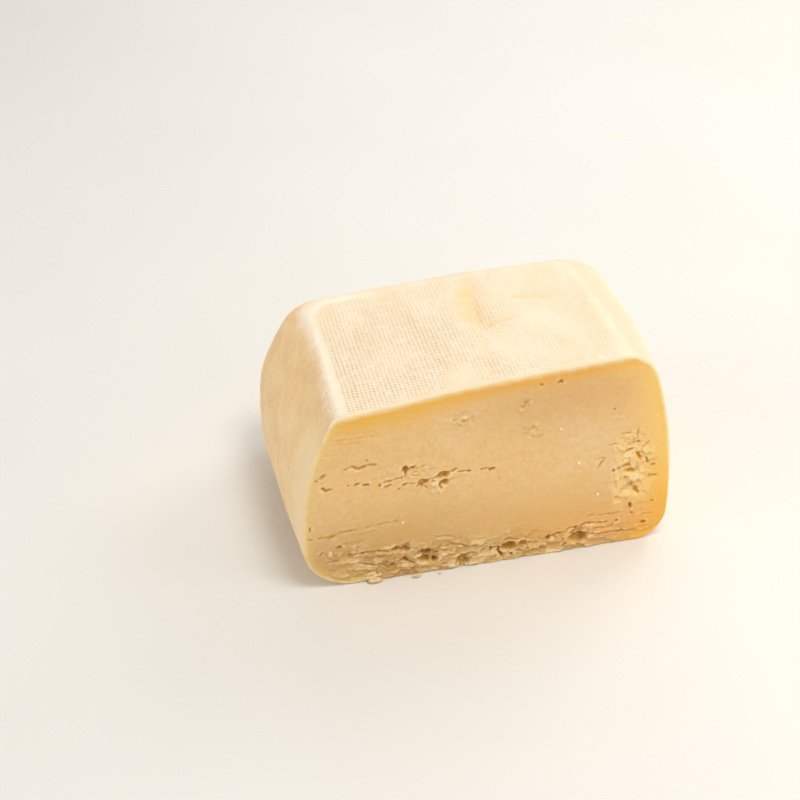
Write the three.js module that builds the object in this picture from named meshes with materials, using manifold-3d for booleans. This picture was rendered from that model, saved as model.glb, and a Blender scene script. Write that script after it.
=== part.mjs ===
// Half loaf of a mild semi-soft butter cheese, standing as cut.
// Millimetres, +Z up, X along the cut, Y running from the cut face back into the loaf.
// The origin is the middle of the footprint, on the surface that the cheese rests on.
//
// The loaf is worked out level by level. At each level a plan outline runs from the cut plane
// down the left wall, round the back and up the right wall, with two rounded back corners.
// Each wall sits in from its widest level by a lean, a rounded foot and a rounded shoulder.
// The outlines are then swollen sideways, sloped along the top and closed by four skins:
// wall, top, underside and cut face. Holes and cracks are cut out of the cut face.

import * as THREE from 'three';
import { mergeVertices } from 'three/addons/utils/BufferGeometryUtils.js';
import Module from 'manifold-3d';

const wasm = await Module();
wasm.setup();

// ---- Driving dimensions -------------------------------------------------------------------

const CUT_WIDTH = 134.7; // widest part of the cut face
const DEPTH = 96.5; // cut face to the widest part of the back
const LEVEL_HEIGHT = 77; // height for which the wall radii below are given
const LEFT_HEIGHT = 72.2; // height of the left shoulder at the cut
const RIGHT_HEIGHT = 82; // height of the right shoulder at the cut
const TOP_CROWN = 1.3; // rise of the top between the two shoulders

// How each wall sits in from its widest level: lean at the top, the level of the widest point
// as a fraction of the height, and the radii of the shoulder and of the foot.
const LEFT_WALL = { lean: 12.2, widest: 0.385, shoulder: 4, foot: 19 };
const RIGHT_WALL = { lean: 12, widest: 0.2, shoulder: 11, foot: 11.5 };
const BACK_WALL = { lean: 16, widest: 0.33, shoulder: 12, foot: 16 };

// Plan radii of the two back corners, at the widest level and at the top.
const LEFT_CORNER = { widest: 24, top: 9 };
const RIGHT_CORNER = { widest: 25, top: 9 };

const TOP_SHIFT = 0.03; // sideways shift of the top to the right, for each millimetre of depth
const LEFT_SWELL = 2.9; // how far the left wall bulges between cut and back
const RIGHT_SWELL = 10; // the same for the right wall
const SWELL_DEPTH = 50; // depth at which the side walls bulge most
const BACK_SKEW = 0.05; // share by which the back is deeper on the left than on the right

const WAVE_HEIGHT = 0.3; // gentle unevenness of the knife cut
const CRUMBLE_HEIGHT = 0.55; // unevenness of the crumbly band along the foot of the cut
const CRUMBLE_LEFT = 20; // height of the crumbly band at the left
const CRUMBLE_RIGHT = 12; // height of the crumbly band at the right
const RELIEF_FADE = 26; // distance from the side walls over which the unevenness grows

// Shallow dents left in the top by folds of the pressing cloth:
// start and end of each fold, its half width and its depth.
const TOP_FOLDS = [
  { from: [3.5, 66], to: [0, 12], halfWidth: 6, depth: 0.8 },
  { from: [3.5, 33], to: [16, 36], halfWidth: 3, depth: 0.7 },
  { from: [17, 52], to: [25, 48], halfWidth: 3, depth: 0.5 },
];

// Grid steps: along each side wall, across the back and the cut, and up the height.
const SIDE_STEPS = 16;
const CROSS_STEPS = 34;
const HEIGHT_STEPS = 22;
const END_LEVEL_SHARE = 0.75; // share of the level spacing that crowds towards foot and top

// Holes and cracks that stand out on the cut face. Across is measured from the middle of the
// cut, up from the foot; long and high are the opening, deep is how far it goes in, and tilt
// is the turn of its long side in degrees.
const HOLES = [
  // a loose row at mid height
  { across: -31.5, up: 47.6, long: 3.6, high: 3.4, deep: 5, tilt: 0 },
  { across: -46.5, up: 51.7, long: 7.6, high: 1.3, deep: 1.8, tilt: 4 },
  { across: -59.3, up: 43, long: 2.6, high: 1.6, deep: 2, tilt: 0 },
  { across: -52, up: 43.8, long: 4.6, high: 1.1, deep: 1.4, tilt: -4 },
  { across: -44.5, up: 43, long: 5.2, high: 1.2, deep: 1.5, tilt: 3 },
  { across: -37.5, up: 42.2, long: 4.4, high: 1.3, deep: 1.5, tilt: -8 },
  { across: -32.2, up: 40.7, long: 2.4, high: 1.9, deep: 2.4, tilt: 0 },
  { across: -24.6, up: 40, long: 5.4, high: 2.6, deep: 2.8, tilt: 8 },
  { across: -18.6, up: 41.4, long: 6.4, high: 3.2, deep: 3.2, tilt: 24 },
  { across: -12.8, up: 43.6, long: 6.2, high: 1.1, deep: 1.4, tilt: 10 },
  { across: -0.8, up: 42.1, long: 4.2, high: 1.8, deep: 2, tilt: 14 },
  // a crumbly patch near the right wall
  { across: 54.3, up: 45.2, long: 3.4, high: 1.2, deep: 1.4, tilt: 38 },
  { across: 49.6, up: 42.3, long: 3.6, high: 1.7, deep: 1.8, tilt: 18 },
  { across: 54.8, up: 38, long: 3.4, high: 2.4, deep: 2.2, tilt: -32 },
  { across: 40.6, up: 35.4, long: 4, high: 0.9, deep: 1.2, tilt: 30 },
  { across: 44.8, up: 33.6, long: 2.6, high: 1.9, deep: 2.8, tilt: 0 },
  { across: 51.6, up: 32.4, long: 6.2, high: 2.6, deep: 3, tilt: -6 },
  { across: 52.2, up: 24.7, long: 8, high: 2, deep: 2.2, tilt: 12 },
  { across: 54.4, up: 20.4, long: 3.4, high: 1.7, deep: 1.8, tilt: -20 },
  { across: 52.2, up: 16.6, long: 2.4, high: 2.2, deep: 1.8, tilt: 60 },
  // the crumbly band along the foot
  { across: -34.8, up: 13.3, long: 4.4, high: 1.7, deep: 2.4, tilt: 8 },
  { across: -31.4, up: 9.2, long: 3.8, high: 1.8, deep: 2.2, tilt: -28 },
  { across: -24.2, up: 9.3, long: 7, high: 3.2, deep: 3.6, tilt: -12 },
  { across: -20.2, up: 5.2, long: 3.6, high: 2.4, deep: 3, tilt: 0 },
  { across: 5.4, up: 5.4, long: 7.4, high: 4.4, deep: 3.2, tilt: 0 },
  { across: 23, up: 7.3, long: 5.8, high: 2.2, deep: 2.6, tilt: 18 },
  { across: 33, up: 7, long: 5.6, high: 4.4, deep: 3.6, tilt: 38 },
  { across: 39, up: 11.6, long: 9.4, high: 1.3, deep: 1.8, tilt: -4 },
  { across: 47.7, up: 10.4, long: 2.2, high: 1.5, deep: 2, tilt: 0 },
  // notches broken out of the bottom edge
  { across: -29, up: 0.4, long: 4.8, high: 2.4, deep: 2.6, tilt: 0 },
  { across: -7.6, up: 0.3, long: 5.2, high: 2.2, deep: 2.8, tilt: 0 },
  // small pits under the top edge
  { across: 23, up: 74.4, long: 3.2, high: 1, deep: 1.1, tilt: 0 },
  { across: 15.7, up: 74.4, long: 2.6, high: 0.9, deep: 1, tilt: 0 },
];
const ROUND_HOLE_LENGTH = 3; // holes at least this long get the finer lump
const SMALL_FLAWS = 22; // small flaws strewn over the crumbly band
const SMALL_FLAW = { long: 2.6, high: 0.9, deep: 0.9 }; // their mean size
const BAND_REACH = 0.36; // how far the flaws reach from the middle, as a share of the cut width

// ---- Small helpers ------------------------------------------------------------------------

const { sin, cos, sqrt, abs, PI } = Math;
const clamp = THREE.MathUtils.clamp;
const lerp = THREE.MathUtils.lerp;
const CUT_MIDDLE = 0;
const HALF_CUT = CUT_WIDTH / 2;

// A repeatable random number from 0 to 1 for each whole number.
function random(n) {
  const wave = sin(n * 12.9898 + 4.1) * 43758.5453;
  return wave - Math.floor(wave);
}

// How far a circular rounding of this radius sits in, at this distance from its edge.
function rounding(distance, radius) {
  const rest = radius - distance;
  return rest > 0 ? radius - sqrt(radius * radius - rest * rest) : 0;
}

// ---- The loaf's outline -------------------------------------------------------------------

// How far a wall sits in at a level from 0, the foot, to 1, the top.
function wallInset(level, wall) {
  const above = clamp((level - wall.widest) / (1 - wall.widest), 0, 1);
  const lean = wall.lean * above * above;
  const foot = rounding(level * LEVEL_HEIGHT, wall.foot);
  const shoulder = rounding((1 - level) * LEVEL_HEIGHT, wall.shoulder);
  return lean + foot + shoulder;
}

function cornerRadius(level, corner) {
  const above = clamp((level - BACK_WALL.widest) / (1 - BACK_WALL.widest), 0, 1);
  return lerp(corner.widest, corner.top, above);
}

// Half of a plan outline: along a straight of the given length, then through an arc that
// turns from one angle by an eighth of a circle. Returns [along, across] for a share of it.
function sidePoint(share, depth, radius) {
  const straight = depth - radius;
  const run = share * (straight + radius * PI / 4);
  const turn = Math.max(0, (run - straight) / radius);
  const across = radius * (1 - cos(turn));
  return [across, Math.min(run, straight) + radius * sin(turn)];
}

// A point of the back, from the middle of the left corner to the middle of the right one.
function backPoint(share, left, right, depth, leftRadius, rightRadius) {
  const leftArc = leftRadius * PI / 4;
  const rightArc = rightRadius * PI / 4;
  const straight = right - left - leftRadius - rightRadius;
  const run = share * (leftArc + straight + rightArc);
  if (run < leftArc) {
    const turn = PI / 4 + run / leftRadius;
    return [left + leftRadius * (1 - cos(turn)), depth - leftRadius * (1 - sin(turn))];
  }
  if (run < leftArc + straight) {
    return [left + leftRadius + run - leftArc, depth];
  }
  const turn = (run - leftArc - straight) / rightRadius;
  return [right - rightRadius * (1 - sin(turn)), depth - rightRadius * (1 - cos(turn))];
}

// The plan outline at a level, as an open run of [x, y] from the left end of the cut to its
// right end, before the swelling.
function planOutline(level) {
  const left = -HALF_CUT + wallInset(level, LEFT_WALL);
  const right = HALF_CUT - wallInset(level, RIGHT_WALL);
  const depth = DEPTH - wallInset(level, BACK_WALL);
  const leftRadius = cornerRadius(level, LEFT_CORNER);
  const rightRadius = cornerRadius(level, RIGHT_CORNER);
  const outline = [];
  for (let i = 0; i < SIDE_STEPS; i += 1) {
    const [across, along] = sidePoint(i / SIDE_STEPS, depth, leftRadius);
    outline.push([left + across, along]);
  }
  for (let i = 0; i < CROSS_STEPS; i += 1) {
    outline.push(backPoint(i / CROSS_STEPS, left, right, depth, leftRadius, rightRadius));
  }
  for (let i = SIDE_STEPS; i >= 0; i -= 1) {
    const [across, along] = sidePoint(i / SIDE_STEPS, depth, rightRadius);
    outline.push([right - across, along]);
  }
  return outline;
}

// How deep the cloth folds dent the top at a point.
function foldDent(x, y) {
  let dent = 0;
  for (const fold of TOP_FOLDS) {
    const start = new THREE.Vector2(...fold.from);
    const way = new THREE.Vector2(...fold.to).sub(start);
    const offset = new THREE.Vector2(x, y).sub(start);
    const share = clamp(offset.dot(way) / way.lengthSq(), 0, 1);
    const away = offset.sub(way.multiplyScalar(share)).length() / fold.halfWidth;
    dent += fold.depth * Math.exp(-away * away);
  }
  return dent;
}

// The height of the top above a point of the plan.
function topHeight(x, y) {
  const start = -HALF_CUT + LEFT_WALL.lean;
  const span = CUT_WIDTH - LEFT_WALL.lean - RIGHT_WALL.lean;
  const share = (x - start) / span;
  const slope = lerp(LEFT_HEIGHT, RIGHT_HEIGHT, clamp(share, -0.2, 1.2));
  const crown = TOP_CROWN * sin(PI * clamp(share, 0, 1)) ** 2;
  return slope + crown - foldDent(x, y);
}

// Places a plan point at its level: the side walls swell, the top shifts to the right, the
// back is deeper on the left, and the level is scaled to the height of the sloping top.
function placed(x, y, level) {
  const side = x / HALF_CUT;
  const off = (y - SWELL_DEPTH) / SWELL_DEPTH;
  const swell = (side < 0 ? -LEFT_SWELL : RIGHT_SWELL) * side * side;
  const bulge = swell * sin(PI * level) * (1 - off * off);
  const deep = y * (1 - BACK_SKEW * side);
  return new THREE.Vector3(x + bulge + TOP_SHIFT * level * y, deep, level * topHeight(x, y));
}

// ---- Skins --------------------------------------------------------------------------------

// Levels crowd a little towards the foot and the top, where the wall turns fastest.
function levelAt(step) {
  const share = step / HEIGHT_STEPS;
  const eased = 0.5 - 0.5 * cos(PI * share);
  return lerp(share, eased, END_LEVEL_SHARE);
}

// How far the cut face stands back from its plane: a gentle wave left by the knife, in and
// out, and rough crumbs broken out of the band along the foot. Both fade towards the walls.
function cutRelief(x, z) {
  const fade = clamp((HALF_CUT - abs(x)) / RELIEF_FADE, 0, 1) ** 2;
  const wave = sin(x * 0.11 + 0.6) * sin(z * 0.13 + 1.1) + 0.5 * sin(x * 0.05 - z * 0.21);
  const bandTop = lerp(CRUMBLE_LEFT, CRUMBLE_RIGHT, (x + HALF_CUT) / CUT_WIDTH);
  const band = clamp((bandTop - z) / 6, 0, 1);
  const rough = sin(x * 0.83 + 2 * sin(z * 0.9)) * sin(z * 1.3 + sin(x * 0.47));
  return fade * (WAVE_HEIGHT * wave + CRUMBLE_HEIGHT * band * (1 + rough)) / 2;
}

// The points of the cut face at one level, from the left wall to the right one.
function cutRow(level) {
  const left = -HALF_CUT + wallInset(level, LEFT_WALL);
  const right = HALF_CUT - wallInset(level, RIGHT_WALL);
  const row = [];
  for (let i = 0; i <= CROSS_STEPS; i += 1) {
    const point = placed(lerp(left, right, i / CROSS_STEPS), 0, level);
    point.y = cutRelief(point.x, point.z);
    row.push(point);
  }
  return row;
}

// A grid of rows of points as triangles; turned swaps which side faces out.
function gridTriangles(rows, turned, triangles) {
  for (let j = 0; j + 1 < rows.length; j += 1) {
    for (let i = 0; i + 1 < rows[j].length; i += 1) {
      const [a, b] = [rows[j][i], rows[j][i + 1]];
      const [d, c] = [rows[j + 1][i], rows[j + 1][i + 1]];
      const pair = turned ? [[a, c, b], [a, d, c]] : [[a, b, c], [a, c, d]];
      triangles.push(...pair);
    }
  }
}

// The top is stretched between its four edges: cut, left wall, back and right wall.
function topRows(ridge, cutEdge) {
  const left = ridge.slice(0, SIDE_STEPS + 1);
  const back = ridge.slice(SIDE_STEPS, SIDE_STEPS + CROSS_STEPS + 1);
  const right = ridge.slice(SIDE_STEPS + CROSS_STEPS).reverse();
  const rows = [];
  for (let k = 0; k <= SIDE_STEPS; k += 1) {
    const v = k / SIDE_STEPS;
    const row = [];
    for (let i = 0; i <= CROSS_STEPS; i += 1) {
      row.push(stretched(i / CROSS_STEPS, v, left[k], right[k], cutEdge, back, i));
    }
    rows.push(row);
  }
  return rows;
}

// One point between four edges: the two ways across added, less the corners.
function stretched(u, v, left, right, front, back, i) {
  const point = new THREE.Vector3();
  const last = front.length - 1;
  point.addScaledVector(left, 1 - u).addScaledVector(right, u);
  point.addScaledVector(front[i], 1 - v).addScaledVector(back[i], v);
  point.addScaledVector(front[0], -(1 - u) * (1 - v)).addScaledVector(front[last], -u * (1 - v));
  point.addScaledVector(back[0], -(1 - u) * v).addScaledVector(back[last], -u * v);
  return point;
}

// Drops the inner points of the top onto the sloping, dented top surface.
function settleTop(rows) {
  for (const row of rows.slice(1, -1)) {
    for (const point of row.slice(1, -1)) {
      point.z = topHeight(point.x - TOP_SHIFT * point.y, point.y);
    }
  }
}

// The flat underside, as a fan round its middle.
function undersideTriangles(foot, cutEdge, triangles) {
  const ring = [...foot, ...cutEdge.slice(1, -1).reverse()];
  const middle = new THREE.Vector3();
  for (const point of ring) {
    middle.addScaledVector(point, 1 / ring.length);
  }
  ring.forEach((point, i) => {
    triangles.push([middle, point, ring[(i + 1) % ring.length]]);
  });
}

// ---- Solids -------------------------------------------------------------------------------

// A geometry that holds only merged positions, as a closed body needs.
function bareGeometry(geometry) {
  geometry.deleteAttribute('normal');
  geometry.deleteAttribute('uv');
  return mergeVertices(geometry, 1e-4);
}

function solidOf(geometry) {
  const bare = bareGeometry(geometry);
  const vertProperties = new Float32Array(bare.attributes.position.array);
  const triVerts = new Uint32Array(bare.index.array);
  return new wasm.Manifold(new wasm.Mesh({ numProp: 3, vertProperties, triVerts }));
}

function geometryOf(solid) {
  const { vertProperties, triVerts } = solid.getMesh();
  const geometry = new THREE.BufferGeometry();
  geometry.setAttribute('position', new THREE.BufferAttribute(vertProperties, 3));
  geometry.setIndex(new THREE.BufferAttribute(triVerts, 1));
  return geometry;
}

function loafSolid() {
  const outlines = [];
  const cutRows = [];
  for (let j = 0; j <= HEIGHT_STEPS; j += 1) {
    const level = levelAt(j);
    outlines.push(planOutline(level).map(([x, y]) => placed(x, y, level)));
    cutRows.push(cutRow(level));
    outlines[j][0].copy(cutRows[j][0]);
    outlines[j].at(-1).copy(cutRows[j].at(-1));
  }
  const top = topRows(outlines.at(-1), cutRows.at(-1));
  settleTop(top);
  const triangles = [];
  gridTriangles(outlines, true, triangles);
  gridTriangles(cutRows, false, triangles);
  gridTriangles(top, false, triangles);
  undersideTriangles(outlines[0], cutRows[0], triangles);
  const geometry = new THREE.BufferGeometry().setFromPoints(triangles.flat());
  return solidOf(geometry);
}

// A lumpy ball, pulled to the size of a hole and set into the cut face.
function holeSolid(hole, number) {
  const detail = hole.long >= ROUND_HOLE_LENGTH ? 1 : 0;
  const geometry = new THREE.IcosahedronGeometry(0.5, detail);
  const position = geometry.attributes.position;
  const point = new THREE.Vector3();
  for (let i = 0; i < position.count; i += 1) {
    point.fromBufferAttribute(position, i);
    const lump = sin(point.x * 9 + number * 1.7) * sin(point.z * 8 + number) * cos(point.y * 7);
    point.multiplyScalar(1 + 0.24 * lump);
    position.setXYZ(i, point.x, point.y, point.z);
  }
  geometry.scale(hole.long, 2 * hole.deep, hole.high);
  geometry.rotateY(-THREE.MathUtils.degToRad(hole.tilt));
  geometry.translate(CUT_MIDDLE + hole.across, 0, hole.up);
  return solidOf(geometry);
}

// The small flaws of the crumbly band, strewn by the seeded draw.
function smallFlaws() {
  const flaws = [];
  for (let n = 0; n < SMALL_FLAWS; n += 1) {
    const draw = (salt) => random(n * 7 + salt);
    const share = (n + draw(1)) / SMALL_FLAWS;
    const bandTop = lerp(CRUMBLE_LEFT, CRUMBLE_RIGHT, share);
    flaws.push({
      across: (2 * share - 1) * BAND_REACH * CUT_WIDTH,
      up: 2 + draw(2) * (bandTop - 4),
      long: SMALL_FLAW.long * (0.6 + draw(3)),
      high: SMALL_FLAW.high * (0.7 + draw(4)),
      deep: CRUMBLE_HEIGHT + SMALL_FLAW.deep * (0.6 + draw(5)),
      tilt: 40 * (draw(6) - 0.5),
    });
  }
  return flaws;
}

function cheeseGeometry() {
  let solid = loafSolid();
  [...HOLES, ...smallFlaws()].forEach((hole, number) => {
    solid = solid.subtract(holeSolid(hole, number));
  });
  const geometry = geometryOf(solid);
  geometry.computeBoundingBox();
  const { min, max } = geometry.boundingBox;
  geometry.translate(-(min.x + max.x) / 2, -(min.y + max.y) / 2, -min.z);
  return geometry;
}

// ---- The part -----------------------------------------------------------------------------

const pasteMaterial = new THREE.MeshStandardMaterial({
  color: 0xe6bd80,
  roughness: 0.55,
  metalness: 0,
});

const cheese = new THREE.Mesh(cheeseGeometry(), pasteMaterial);
cheese.name = 'half_loaf';

const part = new THREE.Group();
part.add(cheese);

export default part;
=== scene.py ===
"""The looks of a half loaf of butter cheese, standing as cut on a pale floor.

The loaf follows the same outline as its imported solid, level by level, but as one fine skin:
a dense cut face with its holes, cracks and crumbling foot, and a coarser rind that carries
the print of the pressing cloth. Shapes are worked out in millimetres, with X along the cut,
Y back into the loaf and Z up, and go into the meshes in metres.
"""
import math

import bpy
import numpy as np
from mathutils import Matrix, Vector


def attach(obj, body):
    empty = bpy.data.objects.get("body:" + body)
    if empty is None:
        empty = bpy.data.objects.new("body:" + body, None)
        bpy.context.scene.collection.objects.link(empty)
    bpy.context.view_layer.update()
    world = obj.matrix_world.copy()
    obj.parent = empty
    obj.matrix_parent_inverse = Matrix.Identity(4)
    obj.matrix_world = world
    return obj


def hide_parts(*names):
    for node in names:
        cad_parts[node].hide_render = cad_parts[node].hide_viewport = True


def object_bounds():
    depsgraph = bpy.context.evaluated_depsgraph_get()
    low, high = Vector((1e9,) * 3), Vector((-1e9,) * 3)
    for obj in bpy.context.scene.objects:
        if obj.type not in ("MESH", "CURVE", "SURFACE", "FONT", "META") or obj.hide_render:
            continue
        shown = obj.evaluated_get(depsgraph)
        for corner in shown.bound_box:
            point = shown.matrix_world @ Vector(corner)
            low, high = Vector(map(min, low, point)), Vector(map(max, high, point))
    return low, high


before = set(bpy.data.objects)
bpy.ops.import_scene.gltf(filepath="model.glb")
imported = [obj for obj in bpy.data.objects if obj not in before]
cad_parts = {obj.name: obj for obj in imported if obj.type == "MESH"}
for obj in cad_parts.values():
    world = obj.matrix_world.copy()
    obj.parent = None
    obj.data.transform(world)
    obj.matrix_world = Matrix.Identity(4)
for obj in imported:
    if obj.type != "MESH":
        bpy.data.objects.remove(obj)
cad_low, cad_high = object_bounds()

MM = 0.001
NODE = "half_loaf"

# ---- Driving dimensions of the loaf, in millimetres -----------------------------------------

CUT_WIDTH = 134.7
DEPTH = 96.5
LEVEL_HEIGHT = 77.0
LEFT_HEIGHT = 72.2
RIGHT_HEIGHT = 82.0
TOP_CROWN = 1.3
LEFT_WALL = dict(lean=12.2, widest=0.385, shoulder=4.0, foot=19.0)
RIGHT_WALL = dict(lean=12.0, widest=0.2, shoulder=11.0, foot=11.5)
BACK_WALL = dict(lean=16.0, widest=0.33, shoulder=12.0, foot=16.0)
LEFT_CORNER = dict(widest=24.0, top=9.0)
RIGHT_CORNER = dict(widest=25.0, top=9.0)
TOP_SHIFT = 0.03
LEFT_SWELL = 2.9
RIGHT_SWELL = 10.0
SWELL_DEPTH = 50.0
BACK_SKEW = 0.05
HALF_CUT = CUT_WIDTH / 2

# Grid steps. The rind has one step for every three of the cut face.
FINE = 3
RIND_ACROSS = 115
RIND_UP = 67
RIND_ALONG = 54
CUT_ACROSS = FINE * RIND_ACROSS
CUT_UP = FINE * RIND_UP

# The walls, from the left rim of the cut round to the right one. Each part has its columns,
# those of them with plain quads, and its seam: the rim's column, the next one, and whether the
# faces turn the other way.
WALL_PARTS = (
    (slice(0, RIND_ALONG + 1), slice(1, None), (0, 1, False)),
    (slice(RIND_ALONG, -RIND_ALONG), slice(None), None),
    (slice(-RIND_ALONG - 1, None), slice(None, -1), (-1, -2, True)),
)

# How far behind the cut's foot the underside turns flat.
SHELF_BACK = 4.0

# The crumbly band along the foot of the cut, and the ragged patch near its right wall.
BAND_LEFT = 17.5
BAND_RIGHT = 9.5
PATCH = dict(x=52.5, z=30.0, half_x=9.0, half_z=19.0)

# How strongly, over how many blur rounds and within what limits lips rise round the holes.
LIP_SHARE = 0.55
LIP_ROUNDS = 7
LIP_DEEPEST = 0.6
LIP_HIGHEST = 0.35

# How far plates, lumps, bits and torn curd stand back, how far dry patches stand forward, how
# far the cut falls back at its rim, and how far points in a hollow rise for each step back.
PLATE_DEPTH = 0.3
LUMP_DEPTH = 0.5
BIT_DEPTH = 0.18
TORN_DEPTH = 0.34
DRY_RISE = 0.4
EDGE_FALL = 0.32
HOLLOW_RISE = 0.35

# Holes in the cut face: place across from the middle of the cut and up from the foot, then
# length, height, depth and the tilt of the long side in degrees.
HOLES = [
    # a loose row at mid height
    (-60.0, 48.7, 3.3, 1.3, 0.6, 32), (-62.2, 47.4, 1.1, 0.7, 0.8, 27), (-31.1, 47.1, 2.3, 2.8, 5.2, -16),
    (-31.1, 45.0, 0.5, 2.6, 1.6, -10), (-28.8, 47.5, 3.1, 1.4, 1.8, 7), (-51.3, 43.6, 0.9, 0.7, 0.8, 13),
    (-48.3, 43.6, 2.6, 0.9, 0.9, 19), (-44.9, 42.8, 2.5, 1.2, 1.9, 11), (-40.2, 41.8, 0.8, 0.9, 1.2, 2),
    (-37.3, 41.2, 2.5, 0.9, 1.1, 19), (-32.4, 43.8, 0.8, 0.7, 0.8, 1), (-44.5, 53.2, 0.7, 0.8, 1.0, 11),
    (-31.5, 40.7, 1.9, 1.0, 3.2, 20), (-33.4, 39.2, 0.7, 0.5, 0.8, 26), (-24.8, 40.5, 4.3, 3.0, 1.5, 6),
    (-25.9, 39.0, 2.6, 1.0, 1.2, -14), (-17.6, 42.1, 5.2, 2.5, 1.7, 19), (-17.3, 39.2, 3.7, 2.4, 1.6, 13),
    (-18.6, 38.7, 1.8, 1.0, 1.6, -82), (-21.2, 40.0, 1.4, 0.8, 1.4, 18), (0.0, 41.8, 2.4, 1.2, 3.0, 15),
    # the ragged patch near the right wall
    (52.7, 44.5, 3.9, 0.7, 1.5, -1), (50.3, 41.6, 3.2, 1.2, 2.1, 6), (54.8, 37.3, 3.8, 1.3, 1.2, -69),
    (53.7, 39.3, 1.2, 0.8, 1.6, -26), (45.4, 33.2, 1.1, 1.2, 3.6, 13), (47.8, 34.1, 2.5, 0.9, 1.5, 23),
    (50.0, 34.4, 5.0, 0.8, 1.6, 10), (51.9, 31.7, 5.0, 1.8, 1.7, -4), (51.2, 25.4, 5.0, 0.8, 2.0, 10),
    (54.9, 22.5, 3.4, 1.4, 1.1, -42), (54.0, 24.2, 3.3, 0.9, 1.4, -16), (53.0, 16.3, 3.1, 1.3, 1.8, -80),
    (53.7, 12.7, 1.0, 0.7, 2.0, 5), (48.2, 10.2, 1.0, 1.1, 2.8, 44), (46.6, 8.9, 0.9, 0.7, 1.1, 14),
    (58.6, 7.7, 2.1, 1.5, 1.6, -1), (60.1, 33.3, 1.9, 0.8, 0.9, -5), (60.3, 28.6, 3.9, 0.7, 1.0, -5),
    (61.3, 16.9, 1.2, 0.9, 0.8, 3), (50.3, 29.3, 2.9, 0.7, 0.9, 2), (57.6, 35.8, 3.0, 1.0, 0.8, -67),
    (58.6, 35.9, 2.5, 0.5, 0.9, -6),
    # the crumbly band along the foot
    (-64.9, 27.1, 2.3, 0.6, 1.0, -85), (-61.5, 15.7, 2.2, 0.8, 1.2, 54), (-54.8, 17.2, 2.2, 1.1, 1.1, -4),
    (-34.4, 12.9, 3.3, 1.9, 3.8, 16), (-31.0, 11.9, 4.5, 2.4, 1.5, -22), (-31.0, 7.4, 3.8, 1.6, 1.8, -35),
    (-24.1, 9.3, 5.7, 1.7, 4.4, 0), (-24.2, 6.3, 5.3, 3.2, 2.0, -13), (-20.2, 5.6, 2.3, 2.5, 4.6, -27),
    (-36.2, 5.8, 2.5, 0.8, 1.6, 22), (-13.7, 4.6, 2.6, 0.9, 1.0, -17), (3.6, 5.6, 2.0, 1.1, 3.0, -51),
    (4.5, 3.0, 2.6, 1.0, 3.0, -50), (7.5, 5.8, 5.8, 4.2, 2.6, 18), (8.4, 2.4, 1.0, 1.3, 3.4, 16),
    (0.6, 5.6, 1.6, 1.7, 1.5, 6), (12.7, 6.2, 3.2, 2.9, 1.2, 0), (11.4, 3.1, 1.8, 0.9, 1.0, -2),
    (16.4, 6.0, 3.6, 0.6, 0.9, -1), (22.2, 7.1, 2.1, 1.4, 3.2, 44), (24.1, 8.1, 2.8, 0.8, 1.8, 23),
    (25.9, 8.5, 1.8, 1.2, 3.6, 16), (32.6, 9.6, 1.5, 1.6, 4.6, 32), (31.3, 8.1, 1.3, 1.1, 3.4, 29),
    (30.9, 5.9, 3.7, 1.4, 2.2, 48), (34.3, 4.7, 7.3, 4.5, 2.9, 18), (28.3, 3.0, 2.6, 0.7, 0.9, 40),
    (38.0, 11.0, 5.5, 0.9, 3.0, -7), (42.4, 10.5, 4.2, 0.6, 1.6, -4), (-10.0, 2.2, 6.0, 4.0, 1.5, 4),
    (-16.9, 2.9, 2.6, 0.9, 0.9, -3), (-47.1, 18.6, 0.8, 0.4, 0.7, -4),
    # notches broken out of the bottom edge
    (-29.2, -0.4, 2.5, 0.9, 2.2, -4), (-6.7, -0.5, 5.6, 1.7, 2.8, 3), (14.8, -0.1, 2.7, 0.8, 1.8, -1),
    # small pits under the top edge
    (23.3, 74.4, 2.8, 0.7, 1.3, 8), (16.2, 74.6, 1.6, 0.6, 1.0, 0), (43.6, 60.0, 1.0, 0.8, 0.7, 0),
]

# Wide shallow scoops where lumps broke away: the same measures as for the holes.
SCOOPS = [
    (50.6, 33.4, 9.0, 6.4, 0.9, 10), (53.4, 24.0, 7.4, 6.0, 0.7, -20), (54.0, 39.0, 6.4, 5.0, 0.6, -50),
    (-20.6, 40.8, 12.0, 4.0, 0.5, 18), (-31.6, 12.6, 7.0, 3.6, 0.7, 0), (25.0, 7.8, 7.0, 3.2, 0.9, 24),
    (-42.0, 9.6, 16.0, 3.4, 0.6, -4), (-22.6, 7.8, 10.0, 5.4, 0.9, -14), (20.0, 3.0, 9.0, 3.0, 0.6, 6),
    (4.6, 4.6, 5.0, 7.0, 0.9, 0), (33.6, 7.0, 8.0, 6.4, 0.9, 30), (-9.6, 3.0, 9.0, 5.6, 0.8, 0),
    (-54.0, 12.0, 9.0, 5.0, 0.4, 0), (13.0, 5.0, 6.0, 4.0, 0.6, 10),
]

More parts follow.
